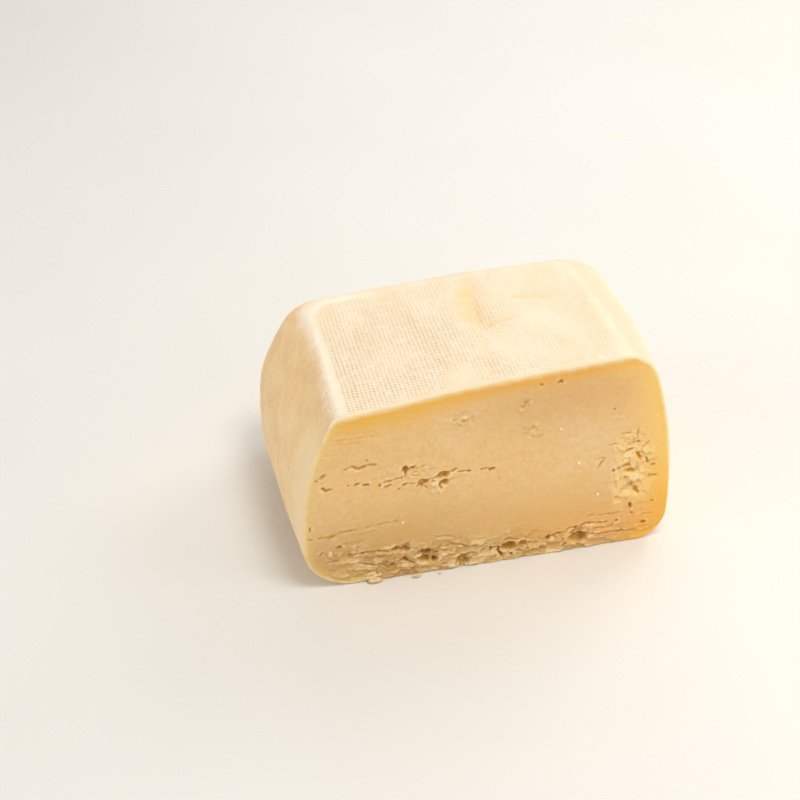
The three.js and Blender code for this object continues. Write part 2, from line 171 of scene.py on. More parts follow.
# Cracks along a line of points, with their half width and depth. None reaches further from
# its points than the margin.
CRACK_MARGIN = 2.0
CRACKS = [
    ([(-60.5, 43.9), (-58.7, 42.5), (-56.9, 43.1)], 0.42, 1.8),
    ([(-52.6, 50.5), (-49.6, 51.3), (-47.5, 49.9)], 0.26, 0.8),
    ([(-47.8, 49.7), (-46.8, 50.2), (-45.4, 50.8)], 0.4, 1.9),
    ([(-45.6, 50.8), (-44.2, 50.8), (-41.2, 50.8)], 0.26, 1.0),
    ([(-39.1, 42.7), (-35.9, 43.1)], 0.36, 1.2),
    ([(-35.9, 43.1), (-33.7, 43.8), (-31.3, 44.1)], 0.24, 0.7),
    ([(-27.5, 46.9), (-23.8, 47.6)], 0.24, 0.5),
    ([(-30.4, 41.1), (-27.2, 40.5)], 0.24, 0.5),
    ([(-21.0, 41.1), (-19.5, 42.6), (-18.4, 43.6), (-16.9, 43.9), (-15.2, 43.3)], 0.36, 2.2),
    ([(-14.8, 43.3), (-12.9, 44.1)], 0.3, 1.2),
    ([(-12.5, 42.5), (-10.5, 42.7), (-7.6, 42.6)], 0.36, 1.5),
    ([(-4.4, 42.3), (-1.2, 42.3)], 0.36, 0.9),
    ([(-15.7, 40.0), (-14.0, 40.3)], 0.26, 0.8),
    ([(2.7, 38.0), (2.8, 36.6)], 0.3, 0.5),
    ([(-24.2, 39.0), (-23.3, 37.5)], 0.3, 0.7),
    ([(-19.2, 38.8), (-18.3, 36.7)], 0.26, 0.8),
    ([(-20.1, 35.9), (-19.2, 34.4)], 0.3, 0.4),
    ([(46.9, 48.9), (50.5, 48.8)], 0.24, 0.6),
    ([(52.2, 45.4), (53.2, 47.4), (53.7, 50.5)], 0.26, 0.6),
    ([(49.9, 44.1), (52.7, 45.9)], 0.24, 0.7),
    ([(42.7, 44.7), (45.9, 45.2)], 0.24, 0.5),
    ([(39.0, 34.6), (40.3, 37.1), (41.3, 38.6)], 0.26, 0.8),
    ([(37.3, 39.1), (39.9, 39.4), (42.2, 39.1)], 0.24, 0.5),
    ([(48.3, 24.8), (51.5, 25.7), (56.1, 26.7)], 0.28, 1.2),
    ([(48.5, 28.7), (50.9, 29.4)], 0.24, 0.6),
    ([(57.8, 28.7), (62.6, 28.4)], 0.26, 0.8),
    ([(58.3, 35.8), (60.9, 35.7)], 0.24, 0.6),
    ([(57.4, 11.5), (62.0, 11.3)], 0.24, 0.6),
    ([(55.4, 42.0), (57.9, 44.0)], 0.24, 0.5),
    ([(47.2, 37.1), (49.8, 38.1)], 0.24, 0.4),
    ([(-62.3, 22.7), (-58.3, 22.4), (-56.3, 23.0)], 0.34, 0.9),
    ([(-56.3, 23.0), (-53.8, 24.1), (-47.5, 24.3), (-39.3, 25.0), (-32.7, 25.4)], 0.22, 0.42),
    ([(-53.2, 13.7), (-49.9, 12.9), (-47.2, 13.2), (-44.4, 13.2), (-39.9, 12.8), (-35.9, 11.7)], 0.34, 1.4),
    ([(-36.2, 7.3), (-33.4, 7.6), (-31.2, 6.9), (-27.3, 5.3)], 0.32, 1.3),
    ([(-48.1, 8.5), (-43.6, 7.0), (-39.9, 7.1), (-37.1, 5.1)], 0.34, 1.5),
    ([(-27.9, 8.4), (-25.6, 10.5), (-21.4, 10.2)], 0.32, 1.6),
    ([(-20.4, 10.2), (-16.8, 10.9), (-13.9, 11.1), (-9.2, 9.8), (-3.7, 7.5)], 0.24, 0.9),
    ([(-27.0, 14.4), (-22.8, 14.1)], 0.24, 0.5),
    ([(-21.0, 15.8), (-15.8, 15.2)], 0.22, 0.4),
    ([(-16.2, 15.1), (-10.2, 13.0)], 0.22, 0.4),
    ([(-17.6, 9.1), (-13.8, 8.1)], 0.3, 0.8),
    ([(-12.1, 4.5), (-10.4, 5.4), (-7.9, 3.8)], 0.3, 1.2),
    ([(-3.2, 5.8), (-1.1, 6.6), (3.2, 6.7)], 0.26, 0.9),
    ([(3.1, 6.7), (4.2, 4.9), (3.6, 4.2), (4.9, 2.3), (5.5, 1.5)], 0.42, 2.4),
    ([(5.3, 8.5), (7.4, 9.0), (11.0, 8.4)], 0.3, 1.1),
    ([(14.3, 6.0), (18.6, 6.0)], 0.3, 1.1),
    ([(17.5, 6.9), (19.6, 7.0)], 0.24, 0.6),
    ([(28.1, 8.6), (30.3, 10.3), (33.1, 10.4)], 0.26, 0.9),
    ([(33.6, 9.8), (35.4, 11.2), (38.0, 11.2), (41.2, 10.3), (44.6, 10.3)], 0.3, 1.4),
    ([(37.6, 6.0), (42.3, 5.7), (48.5, 5.0), (55.1, 4.5)], 0.3, 1.5),
    ([(38.9, 8.6), (43.6, 8.0), (46.7, 8.1)], 0.24, 0.6),
    ([(40.1, 13.8), (46.2, 13.7), (50.1, 13.4)], 0.22, 0.5),
    ([(36.3, 14.1), (40.0, 14.7)], 0.22, 0.4),
    ([(-1.0, 2.7), (1.2, 2.7)], 0.26, 0.8),
    ([(15.2, 2.2), (21.7, 2.5)], 0.24, 0.7),
    ([(-53.8, 18.7), (-50.3, 18.3), (-47.3, 17.9)], 0.22, 0.4),
    ([(-50.2, 21.3), (-41.6, 22.4)], 0.2, 0.35),
    ([(-67.3, 22.9), (-64.0, 22.5)], 0.26, 0.5),
    ([(-59.5, 11.4), (-55.1, 11.1)], 0.26, 0.7),
    ([(-59.1, 7.3), (-55.9, 7.2)], 0.26, 0.6),
    ([(-18.2, 0.9), (-14.5, 1.0)], 0.26, 0.8),
    ([(-41.7, 10.3), (-38.1, 9.9)], 0.24, 0.7),
    ([(-29.3, 3.4), (-25.6, 2.2), (-21.9, 2.3)], 0.28, 0.9),
    # knife lines at the upper left
    ([(-57.5, 63.3), (-50.0, 62.9), (-41.5, 62.8)], 0.22, 0.3),
    ([(-56.0, 61.2), (-45.5, 60.9)], 0.2, 0.24),
    ([(-52.0, 65.2), (-44.0, 64.6)], 0.2, 0.2),
    ([(-60.5, 57.4), (-51.0, 57.0)], 0.2, 0.18),
    # drag marks above the row
    ([(-14.6, 64.4), (-13.0, 65.6), (-11.6, 64.2), (-10.4, 63.8)], 0.22, 0.35),
    ([(-13.2, 62.6), (-11.0, 61.8), (-9.4, 62.4)], 0.22, 0.3),
    ([(-12.0, 67.0), (-10.6, 66.2)], 0.22, 0.3),
    ([(10.6, 57.2), (13.4, 56.0), (14.8, 57.4)], 0.22, 0.3),
    ([(13.6, 53.6), (16.4, 52.6), (18.0, 53.4)], 0.22, 0.3),
]

# Pale dry patches on the cut: place, length, height and how pale.
PALE_PATCHES = [
    (-58.3, 15.1, 1.8, 3.6, 0.8), (-43.6, 2.4, 7.3, 4.2, 1.0), (-11.8, 64.4, 8.0, 2.8, 0.25),
    (-31.1, 4.9, 6.2, 2.5, 0.7), (-20.7, 39.2, 2.9, 2.2, 1.0), (-19.8, 36.0, 5.4, 3.9, 0.5),
    (-17.2, 6.9, 3.3, 1.8, 0.7), (-13.3, 1.0, 6.0, 3.3, 0.7), (-2.8, -0.4, 3.8, 2.4, 0.5),
    (16.4, 6.2, 3.4, 0.9, 0.8), (29.3, 6.3, 2.7, 3.3, 0.7), (40.1, 8.5, 8.6, 2.8, 0.5),
    (44.5, 6.6, 11.7, 1.4, 0.4), (50.0, 38.4, 5.3, 4.0, 0.7), (53.2, 29.1, 8.5, 4.1, 0.8),
    (55.8, 31.6, 2.3, 4.5, 0.6), (53.2, 26.4, 5.4, 1.8, 0.5), (50.7, 22.2, 3.9, 3.7, 0.5),
    (46.1, 42.7, 3.8, 4.0, 0.35), (4.3, -0.1, 11.4, 1.9, 0.6), (21.4, 0.7, 11.6, 1.9, 0.5),
    (-38.6, 14.0, 5.1, 1.4, 0.4), (-40.3, 8.9, 6.5, 2.3, 0.5), (-54.8, 4.9, 7.2, 3.7, 0.35),
]

# Scuffed places, where the knife tore the skin of the paste: the same measures again.
SCUFFS = [
    (-11.0, 64.4, 15.0, 6.0, 0.5, -6), (14.0, 56.0, 9.0, 8.0, 0.3, 20), (10.6, 66.6, 6.0, 9.0, 0.4, -30),
    (-22.6, 55.4, 7.0, 5.0, 0.2, -20), (-31.0, 44.2, 44.0, 9.0, 0.2, 6), (52.0, 46.0, 18.0, 12.0, 0.2, 0),
    (54.0, 12.0, 14.0, 14.0, 0.16, 0), (-52.0, 14.0, 26.0, 14.0, 0.22, 0), (33.0, 63.0, 10.0, 6.0, 0.14, 0),
]

# Folds of the pressing cloth, printed into the top: points, half width, depth (below nought
# where the top is raised). From the full depth on, a fold has its whole painted shade.
FULL_TINT_DEPTH = 0.6
FOLDS = [
    ([(6.4, 66.0), (5.2, 50.0), (2.9, 33.4)], 4.2, 0.7),
    ([(5.6, 54.0), (4.5, 42.0), (3.5, 33.3)], 1.0, 0.42),
    ([(4.8, 35.4), (9.6, 38.0), (15.0, 39.4)], 2.4, 0.3),
    ([(3.2, 32.8), (7.6, 35.2), (12.6, 36.8), (18.8, 37.0)], 1.3, 0.6),
    ([(4.6, 30.4), (10.6, 32.4), (20.0, 33.4)], 1.9, -0.65),
    ([(2.6, 27.0), (1.5, 16.5)], 1.4, 0.4),
    ([(19.4, 50.2), (27.5, 49.4), (33.0, 44.8)], 1.5, 0.5),
    ([(20.0, 47.2), (27.0, 46.4), (31.0, 42.6)], 1.8, -0.3),
    ([(-4.4, 36.0), (-3.6, 46.0)], 3.6, -0.5),
    ([(25.6, 17.6), (30.0, 15.2)], 1.5, 0.2),
    ([(1.5, 16.0), (-1.0, 4.0)], 3.5, 0.25),
]

# Round spots of the top where the cloth print is faint: middle and reach.
CALM_SPOTS = (((26.0, 33.0), 9.0), ((8.0, 20.0), 7.0), ((-11.0, 6.0), 6.0))

# Turns of the threads for each millimetre across and along the cloth, and how far the cloth
# was pulled askew for each millimetre down the left wall.
WARP = (0.69, -0.02)
WEFT = (0.083, 0.655)
WALL_SLANT = 0.35

# Crumbs: place from the middle of the foot of the cut, and size. The first lie at the foot, and
# the rest are pale specks caught on the cut.
CRUMBS = [
    ((-42.6, -1.1, 0.85), (5.4, 2.2, 1.7)), ((-27.0, -1.7, 0.65), (3.0, 1.8, 1.3)),
    ((-18.9, -2.0, 0.35), (1.3, 1.1, 0.7)), ((-20.4, 0.5, 39.0), (1.8, 1.3, 1.3)),
    ((24.4, -0.1, 54.7), (0.7, 0.7, 1.1)), ((31.9, -0.1, 39.0), (1.2, 0.8, 0.9)),
    ((40.0, -0.1, 23.7), (1.0, 0.8, 1.1)), ((-32.0, 0.0, 24.2), (0.8, 0.7, 0.7)),
]
FOOT_CRUMBS = 4

# ---- Small helpers --------------------------------------------------------------------------


def smooth(low, high, value):
    """A smooth rise from 0 at low to 1 at high: 3s^2 - 2s^3 of the clipped share s."""
    share = np.clip((value - low) / (high - low), 0.0, 1.0)
    return share * share * (3.0 - 2.0 * share)


def bell(away, width):
    """1 in the middle and falling off to both sides: e to the less square of away / width."""
    return np.exp(-((away / width) ** 2))


def spot(x, z, middle, reach):
    """A bell over an upright ellipse with the given middle and reach each way."""
    return np.exp(-(((x - middle[0]) / reach[0]) ** 2) - ((z - middle[1]) / reach[1]) ** 2)


def glow(distance, reach):
    """A bell of the distance from an edge, full at the edge and past it."""
    return bell(np.maximum(distance, 0.0), reach)


def lattice(ix, iz, seed):
    """A repeatable number from 0 to 1 for each whole place: the fraction of a large sine."""
    wave = np.sin(ix * 127.1 + iz * 311.7 + seed * 74.7) * 43758.5453
    return wave - np.floor(wave)


def value_noise(x, z, seed):
    """Lattice numbers blended smoothly between whole places, from -1 to 1."""
    ix, iz = np.floor(x), np.floor(z)
    u, v = smooth(0.0, 1.0, x - ix), smooth(0.0, 1.0, z - iz)
    low = lattice(ix, iz, seed) * (1 - u) + lattice(ix + 1, iz, seed) * u
    high = lattice(ix, iz + 1, seed) * (1 - u) + lattice(ix + 1, iz + 1, seed) * u
    return 2.0 * (low * (1 - v) + high * v) - 1.0


def rough_noise(x, z, seed, octaves=3):
    """A sum of value noises, each at twice the pitch and half the height of the last."""
    total = np.zeros(np.broadcast(x, z).shape)
    for octave in range(octaves):
        total += value_noise(x * 2**octave, z * 2**octave, seed + 11 * octave) / 2**octave
    return total


def line_distance(x, z, points):
    """Distance to a line of points, and the share of its length where the nearest point is."""
    nearest = np.full(np.broadcast(x, z).shape, 1e9)
    along = np.zeros_like(nearest)
    lengths = [math.dist(a, b) for a, b in zip(points, points[1:])]
    done = 0.0
    for (ax, az), (bx, bz), length in zip(points, points[1:], lengths):
        share = np.clip(((x - ax) * (bx - ax) + (z - az) * (bz - az)) / length**2, 0.0, 1.0)
        away = np.hypot(x - ax - share * (bx - ax), z - az - share * (bz - az))
        along = np.where(away < nearest, (done + share * length) / sum(lengths), along)
        nearest = np.minimum(nearest, away)
        done += length
    return nearest, along


def spread(share, crowd, steps):
    """Shares in even steps of the crowd's running sum, so they lie closer where it is high."""
    total = np.concatenate([[0.0], np.cumsum((crowd[1:] + crowd[:-1]) / 2)])
    return np.interp(np.linspace(0.0, 1.0, steps + 1), total / total[-1], share)


def walked(rows):
    """The length walked along each row of points, from 0 at its first point."""
    steps = np.linalg.norm(np.diff(rows, axis=1), axis=-1)
    return np.concatenate([np.zeros((len(rows), 1)), np.cumsum(steps, axis=1)], axis=1)


# ---- The loaf's outline ---------------------------------------------------------------------


def rounding(distance, radius):
    """How far a circular rounding sits in: radius less the root of radius^2 - rest^2."""
    rest = np.clip(radius - distance, 0.0, radius)
    return radius - np.sqrt(radius * radius - rest * rest)


def wall_inset(level, wall):
    """Lean growing as the square of the height above the widest level, plus both roundings."""
    above = np.clip((level - wall["widest"]) / (1 - wall["widest"]), 0.0, 1.0)
    foot = rounding(level * LEVEL_HEIGHT, wall["foot"])
    shoulder = rounding((1 - level) * LEVEL_HEIGHT, wall["shoulder"])
    return wall["lean"] * above**2 + foot + shoulder


def corner_radius(level, corner):
    """Plan radius of a back corner, from its widest level to the top in a straight line."""
    above = np.clip((level - BACK_WALL["widest"]) / (1 - BACK_WALL["widest"]), 0.0, 1.0)
    return corner["widest"] + (corner["top"] - corner["widest"]) * above


def side_run(share, depth, radius):
    """Along a straight, then an eighth of a circle: how far in, and how far along."""
    straight = depth - radius
    run = share * (straight + radius * np.pi / 4)
    turn = np.clip((run - straight) / radius, 0.0, None)
    return radius * (1 - np.cos(turn)), np.minimum(run, straight) + radius * np.sin(turn)


def back_run(share, left, right, depth, left_radius, right_radius):
    """From the middle of the left corner, along the back, to the middle of the right one."""
    left_arc, right_arc = left_radius * np.pi / 4, right_radius * np.pi / 4
    straight = right - left - left_radius - right_radius
    run = share * (left_arc + straight + right_arc)
    turn_in = np.pi / 4 + np.clip(run, 0.0, left_arc) / left_radius
    turn_out = np.clip(run - left_arc - straight, 0.0, None) / right_radius
    middle = np.clip(run - left_arc, 0.0, straight)
    x = left + left_radius * (1 - np.cos(turn_in)) + middle + right_radius * np.sin(turn_out)
    y = depth - left_radius * (1 - np.sin(turn_in)) - right_radius * (1 - np.cos(turn_out))
    return x, y


def plan_outline(level):
    """Rows of plan points, one row a level: up the left wall, over the back, down the right."""
    level = level[:, None]
    left = -HALF_CUT + wall_inset(level, LEFT_WALL)
    right = HALF_CUT - wall_inset(level, RIGHT_WALL)
    depth = DEPTH - wall_inset(level, BACK_WALL)
    left_radius, right_radius = corner_radius(level, LEFT_CORNER), corner_radius(level, RIGHT_CORNER)
    side = row_shares()[None, :]
    back = fine_shares()[None, FINE:-FINE:FINE]
    left_in, left_along = side_run(side, depth, left_radius)
    right_in, right_along = side_run(side[:, ::-1], depth, right_radius)
    back_x, back_y = back_run(back, left, right, depth, left_radius, right_radius)
    x = np.concatenate([left + left_in, back_x, right - right_in], axis=1)
    y = np.concatenate([left_along, back_y, right_along], axis=1)
    return x, y


def fold_dent(x, y):
    """Sum over the cloth folds of depth times a bell of the distance to the fold's line."""
    dent = np.zeros(np.broadcast(x, y).shape)
    for points, half_width, depth in FOLDS:
        away, along = line_distance(x, y, points)
        ends = smooth(0.0, 0.15, along) * smooth(1.0, 0.85, along) * 0.5 + 0.5
        dent += depth * ends * bell(away, half_width)
    return dent


def fold_shade_weight(x, y):
    """How deep in a cloth fold a point lies, from 0 to 1: the largest of the folds' bells, for painted
    shade in the folds.
    """
    tint = np.zeros_like(x)
    for points, half_width, depth in FOLDS:
        if depth > 0:
            away, along = line_distance(x, y, points)
            ends = smooth(0.0, 0.2, along) * smooth(1.0, 0.75, along) * 0.7 + 0.3
            strength = min(1.0, depth / FULL_TINT_DEPTH)
            tint = np.maximum(tint, strength * ends * bell(away, half_width))
    return tint


def top_height(x, y):
    """Slope from shoulder to shoulder, plus a crown of sine squared, less the cloth folds."""
    start = -HALF_CUT + LEFT_WALL["lean"]
    share = (x - start) / (CUT_WIDTH - LEFT_WALL["lean"] - RIGHT_WALL["lean"])
    slope = LEFT_HEIGHT + (RIGHT_HEIGHT - LEFT_HEIGHT) * np.clip(share, -0.2, 1.2)
    crown = TOP_CROWN * np.sin(np.pi * np.clip(share, 0.0, 1.0)) ** 2
    lumps = 0.35 * rough_noise(x / 17.0, y / 15.0, 5) * smooth(2.0, 16.0, y)
    return slope + crown + lumps - fold_dent(x, y)


def placed(x, y, level):
    """Swells the sides, shifts the top, skews the back and scales the level to the top."""
    side = x / HALF_CUT
    swell = np.where(side < 0, -LEFT_SWELL, RIGHT_SWELL) * side**2
    bulge = swell * np.sin(np.pi * level) * (1 - ((y - SWELL_DEPTH) / SWELL_DEPTH) ** 2)
    dents = 0.45 * rough_noise(y / 13.0 + x / 31.0, level * 6.0 + x / 43.0, 9) * smooth(3.0, 18.0, y)
    moved = x + bulge + TOP_SHIFT * level * y + dents * np.sin(np.pi * level) * side
    deep = y * (1 - BACK_SKEW * side)
    return np.stack([moved, deep, level * top_height(x, y)], axis=-1)


def fine_levels():
    """Levels of the cut face: they crowd at foot and top, in the crumbly band and the row.

    The last few crowd most, so that the shoulder runs smoothly into the top.
    """
    level = np.linspace(0.0, 1.0, 2001)
    crowd = 0.8 + 1.0 * bell(level - 0.1, 0.1) + 0.9 * bell(level - 0.56, 0.07)
    crowd += 2.2 * np.exp(-level / 0.012) + 2.6 * np.exp(-(1 - level) / 0.016)
    crowd += 10.0 * np.exp(-(1 - level) / 0.003)
    return spread(level, crowd, CUT_UP)


def row_shares():
    """Shares from the cut to the back: they crowd where the cloth creases lie."""
    share = np.linspace(0.0, 1.0, 1001)
    return spread(share, 1.0 + 1.1 * bell(share - 0.37, 0.14), RIND_ALONG)


def fine_shares():
    """Shares across the cut face: they crowd in the ragged patch and at both walls."""
    share = np.linspace(0.0, 1.0, 2001)
    crowd = 1.0 + 0.7 * bell(share - 0.87, 0.07) + 0.25 * bell(share - 0.3, 0.16)
    crowd += 1.6 * (np.exp(-share / 0.01) + np.exp(-(1 - share) / 0.01))
    return spread(share, crowd, CUT_ACROSS)


# ---- Relief of the cut face -----------------------------------------------------------------


def rim_distance(x, z, level):
    """Distance from the outline of the cut, to first order: [left, right, top, foot]."""
    step = 1e-4
    sides = []
    for wall, gap in ((LEFT_WALL, HALF_CUT + x), (RIGHT_WALL, HALF_CUT - x)):
        rise = wall_inset(np.clip(level + step, 0, 1), wall) - wall_inset(np.clip(level - step, 0, 1), wall)
        slope = rise / (2 * step * LEVEL_HEIGHT)
        sides.append((gap - wall_inset(level, wall)) / np.sqrt(1 + slope**2))
    return sides[0], sides[1], (1 - level) * LEVEL_HEIGHT, z


def hole_depth(x, z, holes, ragged, steep):
    """Each hole is a bowl over a turned ellipse, frayed by noise and deepest under its top."""
    depth = np.zeros_like(x)
    fray_x = ragged * rough_noise(x / 1.5, z / 1.5, 21)
    fray_z = ragged * rough_noise(x / 1.5, z / 1.5, 37)
    for number, (across, up, length, height, deep, tilt) in enumerate(holes):
        near = (np.abs(x - across) < length) & (np.abs(z - up) < length + height)
        turn = math.radians(tilt)
        dx, dz = x[near] - across, z[near] - up
        scale = min(1.0, height / 1.6)
        u = (dx * math.cos(turn) + dz * math.sin(turn) + scale * fray_x[near]) * 2 / length
        v = (dz * math.cos(turn) - dx * math.sin(turn) + scale * fray_z[near]) * 2 / height
        bowl = smooth(1.15, steep, np.hypot(u, v))
        reach = 0.5 * math.hypot(height * math.cos(turn), length * math.sin(turn))
        lean = 1.0 + 0.45 * np.clip(dz / reach, -1.0, 1.0)
        lumps = 1.0 + 0.25 * value_noise(dx / 1.1, dz / 0.9, number)
        depth[near] = np.maximum(depth[near], deep * bowl * lean * lumps)
    return depth


def crack_depth(x, z):
    """Each crack is a narrow groove along its frayed line, broken up and closed at its ends."""
    depth = np.zeros_like(x)
    fray_x = x + 0.25 * rough_noise(x / 1.3, z / 1.2, 51)
    fray_z = z + 0.26 * rough_noise(x / 1.4, z / 2.0, 57)
    for number, (points, half_width, deep) in enumerate(CRACKS):
        low, high = np.min(points, axis=0) - CRACK_MARGIN, np.max(points, axis=0) + CRACK_MARGIN
        near = (x > low[0]) & (x < high[0]) & (z > low[1]) & (z < high[1])
        away, along = line_distance(fray_x[near], fray_z[near], points)
        ends = smooth(0.0, 0.12, along) * smooth(1.0, 0.88, along)
        broken = 0.72 + 0.5 * value_noise(x[near] / 1.6, z[near] / 1.6, 60 + number)
        groove = deep * (0.25 + 0.75 * ends) * broken * bell(away, half_width)
        depth[near] = np.maximum(depth[near], groove)
    return depth


def band_weight(x, z):
    """How crumbly the foot is: 1 in the band that thins out to the right, 0 above it."""
    top = BAND_LEFT + (BAND_RIGHT - BAND_LEFT) * (x + HALF_CUT) / CUT_WIDTH
    top = top + 2.0 * rough_noise(x / 9.0, z / 6.0, 71)
    return smooth(top + 1.5, top - 7.0, z)


def patch_weight(x, z):
    """How ragged the cut is near the right wall: 1 in the middle of an upright ellipse."""
    away = np.hypot((x - PATCH["x"]) / PATCH["half_x"], (z - PATCH["z"]) / PATCH["half_z"])
    return smooth(1.15, 0.5, away + 0.25 * rough_noise(x / 4.0, z / 4.0, 77, 2))


def curd_layers(x, z):
    """Thin plates of curd in the band, each standing forward at its lower edge.

    The height is warped by noise and cut into layers. Within a layer the plate falls back as
    the layer's share squared, so the next plate above overhangs it.
    """
    wander = z / 1.9 + 0.035 * x + 0.9 * rough_noise(x / 11.0, z / 6.0, 81)
    share = wander - np.floor(wander)
    plate = share**2 * smooth(1.0, 0.86, share)
    strong = smooth(-0.1, 0.9, rough_noise(x / 6.0, z / 2.4, 85, 2))
    return plate * strong


def curd_lumps(x, z, length, height, seed):
    """Broken curd: each point belongs to the nearest of scattered, frayed centres.

    Each lump has its own depth and its own tilt, and leans forward at its lower edge. Returns
    the depth, from about -1 to 1, and how pale the lump is, from 0 to 1.
    """
    u = (x + 0.7 * rough_noise(x / 2.4, z / 1.6, seed + 7, 2)) / length
    v = (z + 0.5 * rough_noise(x / 2.4, z / 1.6, seed + 9, 2)) / height
    nearest = np.full(x.shape, 9.0)
    depth, pale = np.zeros_like(x), np.zeros_like(x)
    for i in (-1, 0, 1):
        for j in (-1, 0, 1):
            iu, iv = np.floor(u) + i, np.floor(v) + j
            du, dv = u - iu - lattice(iu, iv, seed), v - iv - lattice(iu, iv, seed + 1)
            tilt = 0.9 * (lattice(iu, iv, seed + 2) - 0.5) * du + (0.3 + lattice(iu, iv, seed + 3)) * dv
            own = lattice(iu, iv, seed + 4) - 0.5 + tilt
            closer = np.hypot(du, dv) < nearest
            nearest = np.where(closer, np.hypot(du, dv), nearest)
            depth = np.where(closer, own, depth)
            pale = np.where(closer, lattice(iu, iv, seed + 5), pale)
    return depth, pale


def softened(field, rounds):
    """Blurs a grid by repeated weights of 1, 2, 1 along both of its directions."""
    for _ in range(rounds):
        wide = np.pad(field, 1, mode="edge")
        field = (wide[:-2, 1:-1] + 2 * wide[1:-1, 1:-1] + wide[2:, 1:-1]) / 4
        wide = np.pad(field, 1, mode="edge")
        field = (wide[1:-1, :-2] + 2 * wide[1:-1, 1:-1] + wide[1:-1, 2:]) / 4
    return field


def pale_patches(x, z):
    """Dry patches: the largest of bells over frayed ellipses."""
    fray = 0.35 * rough_noise(x / 1.3, z / 1.1, 111)
    pale = np.zeros_like(x)
    for across, up, length, height, strength in PALE_PATCHES:
        away = np.hypot((x - across) * 2 / length, (z - up) * 2 / height) + fray
        pale = np.maximum(pale, strength * smooth(1.15, 0.55, away))
    return pale


def paste_waves(x, z):
    """The slow waves that the knife left over the whole cut, and a fine grain."""
    wave = 0.16 * np.sin(x * 0.11 + 0.6) * np.sin(z * 0.13 + 1.1)
    return wave + 0.06 * rough_noise(x / 14.0, z / 22.0, 101) + 0.03 * rough_noise(x / 1.3, z / 1.0, 103, 2)


def curd_relief(x, z, inside, band, patch):
    """Broken curd and dry patches: how far they stand back, and the weights that colour them.

    Plates, lumps and bits break up the band, and slanting lumps break up the patch.
    """
    broken = band * smooth(-64.0, -44.0, x) * (1 - 0.5 * smooth(34.0, 46.0, x))
    lumps, lump_pale = curd_lumps(x, z, 6.5, 2.8, 107)
    bits = curd_lumps(x, z, 2.6, 1.5, 91)[0]
    torn, torn_pale = curd_lumps(0.97 * x + 0.26 * z, 0.97 * z - 0.26 * x, 3.8, 2.2, 93)
    dry = pale_patches(x, z)
    back = broken * (PLATE_DEPTH * curd_layers(x, z) + LUMP_DEPTH * lumps + BIT_DEPTH * bits)
    back += patch * TORN_DEPTH * torn - DRY_RISE * dry
    return back, {
        "pale": inside * np.maximum(dry, 0.3 * patch * torn_pale),
        "stale": inside * broken * smooth(0.3, 0.05, lump_pale),
        "lump": inside * broken * smooth(0.5, 0.95, lump_pale) * smooth(50.0, 40.0, x),
        "crumble": band,
        "patch": patch,
    }


def paste_weights(x, z):
    """Broad changes of the paste's colour over the cut; the darker foot, most at the left, is painted
    shade.
    """
    return {
        # painted shade: the lower part of the cut is darker, most at the left
        "foot": smooth(42.0, 8.0, z) * (0.5 + 0.5 * smooth(12.0, -30.0, x)),
        "low_right": smooth(26.0, 8.0, z) * smooth(-1.0, 8.0, z) * smooth(-6.0, 34.0, x),
        "upper": spot(x, z, (26.0, 68.0), (32.0, 12.0)),
        "lower": spot(x, z, (12.0, 20.0), (40.0, 10.0)),
    }


def rim_weights(x, z, left, right, top):
    """Where light shining through the rind is painted as a glow on the paste beside it, and where the
    rind's pale edge shows.
    """
    fray = 0.35 * value_noise(x / 2.0, z / 2.0, 109)
    left_edge = smooth(1.7, 0.0, left + fray)
    right_edge = smooth(1.4, 0.0, right + fray) * smooth(18.0, 40.0, z)
    return {
        # painted glow: a golden strip under the top rind, where light shines through it
        "painted_top_glow": glow(top - 1.8, 4.0 + 3.0 * smooth(4.0, -40.0, x)),
        # painted glow along the right rim, where light from behind shines through the rind
        "painted_right_glow": glow(right - 0.2, 8.0) * smooth(-4.0, 12.0, top),
        # painted glow at the bottom right corner
        "low_glow": glow(right, 10.5) * smooth(50.0, 14.0, z) * smooth(46.0, 58.0, x),
        # painted glow along the left rim
        "painted_left_glow": glow(left, 3.2),
        "pale_rim": np.maximum(smooth(3.0, 0.0, top + fray), 0.6 * np.maximum(left_edge, right_edge)),
    }


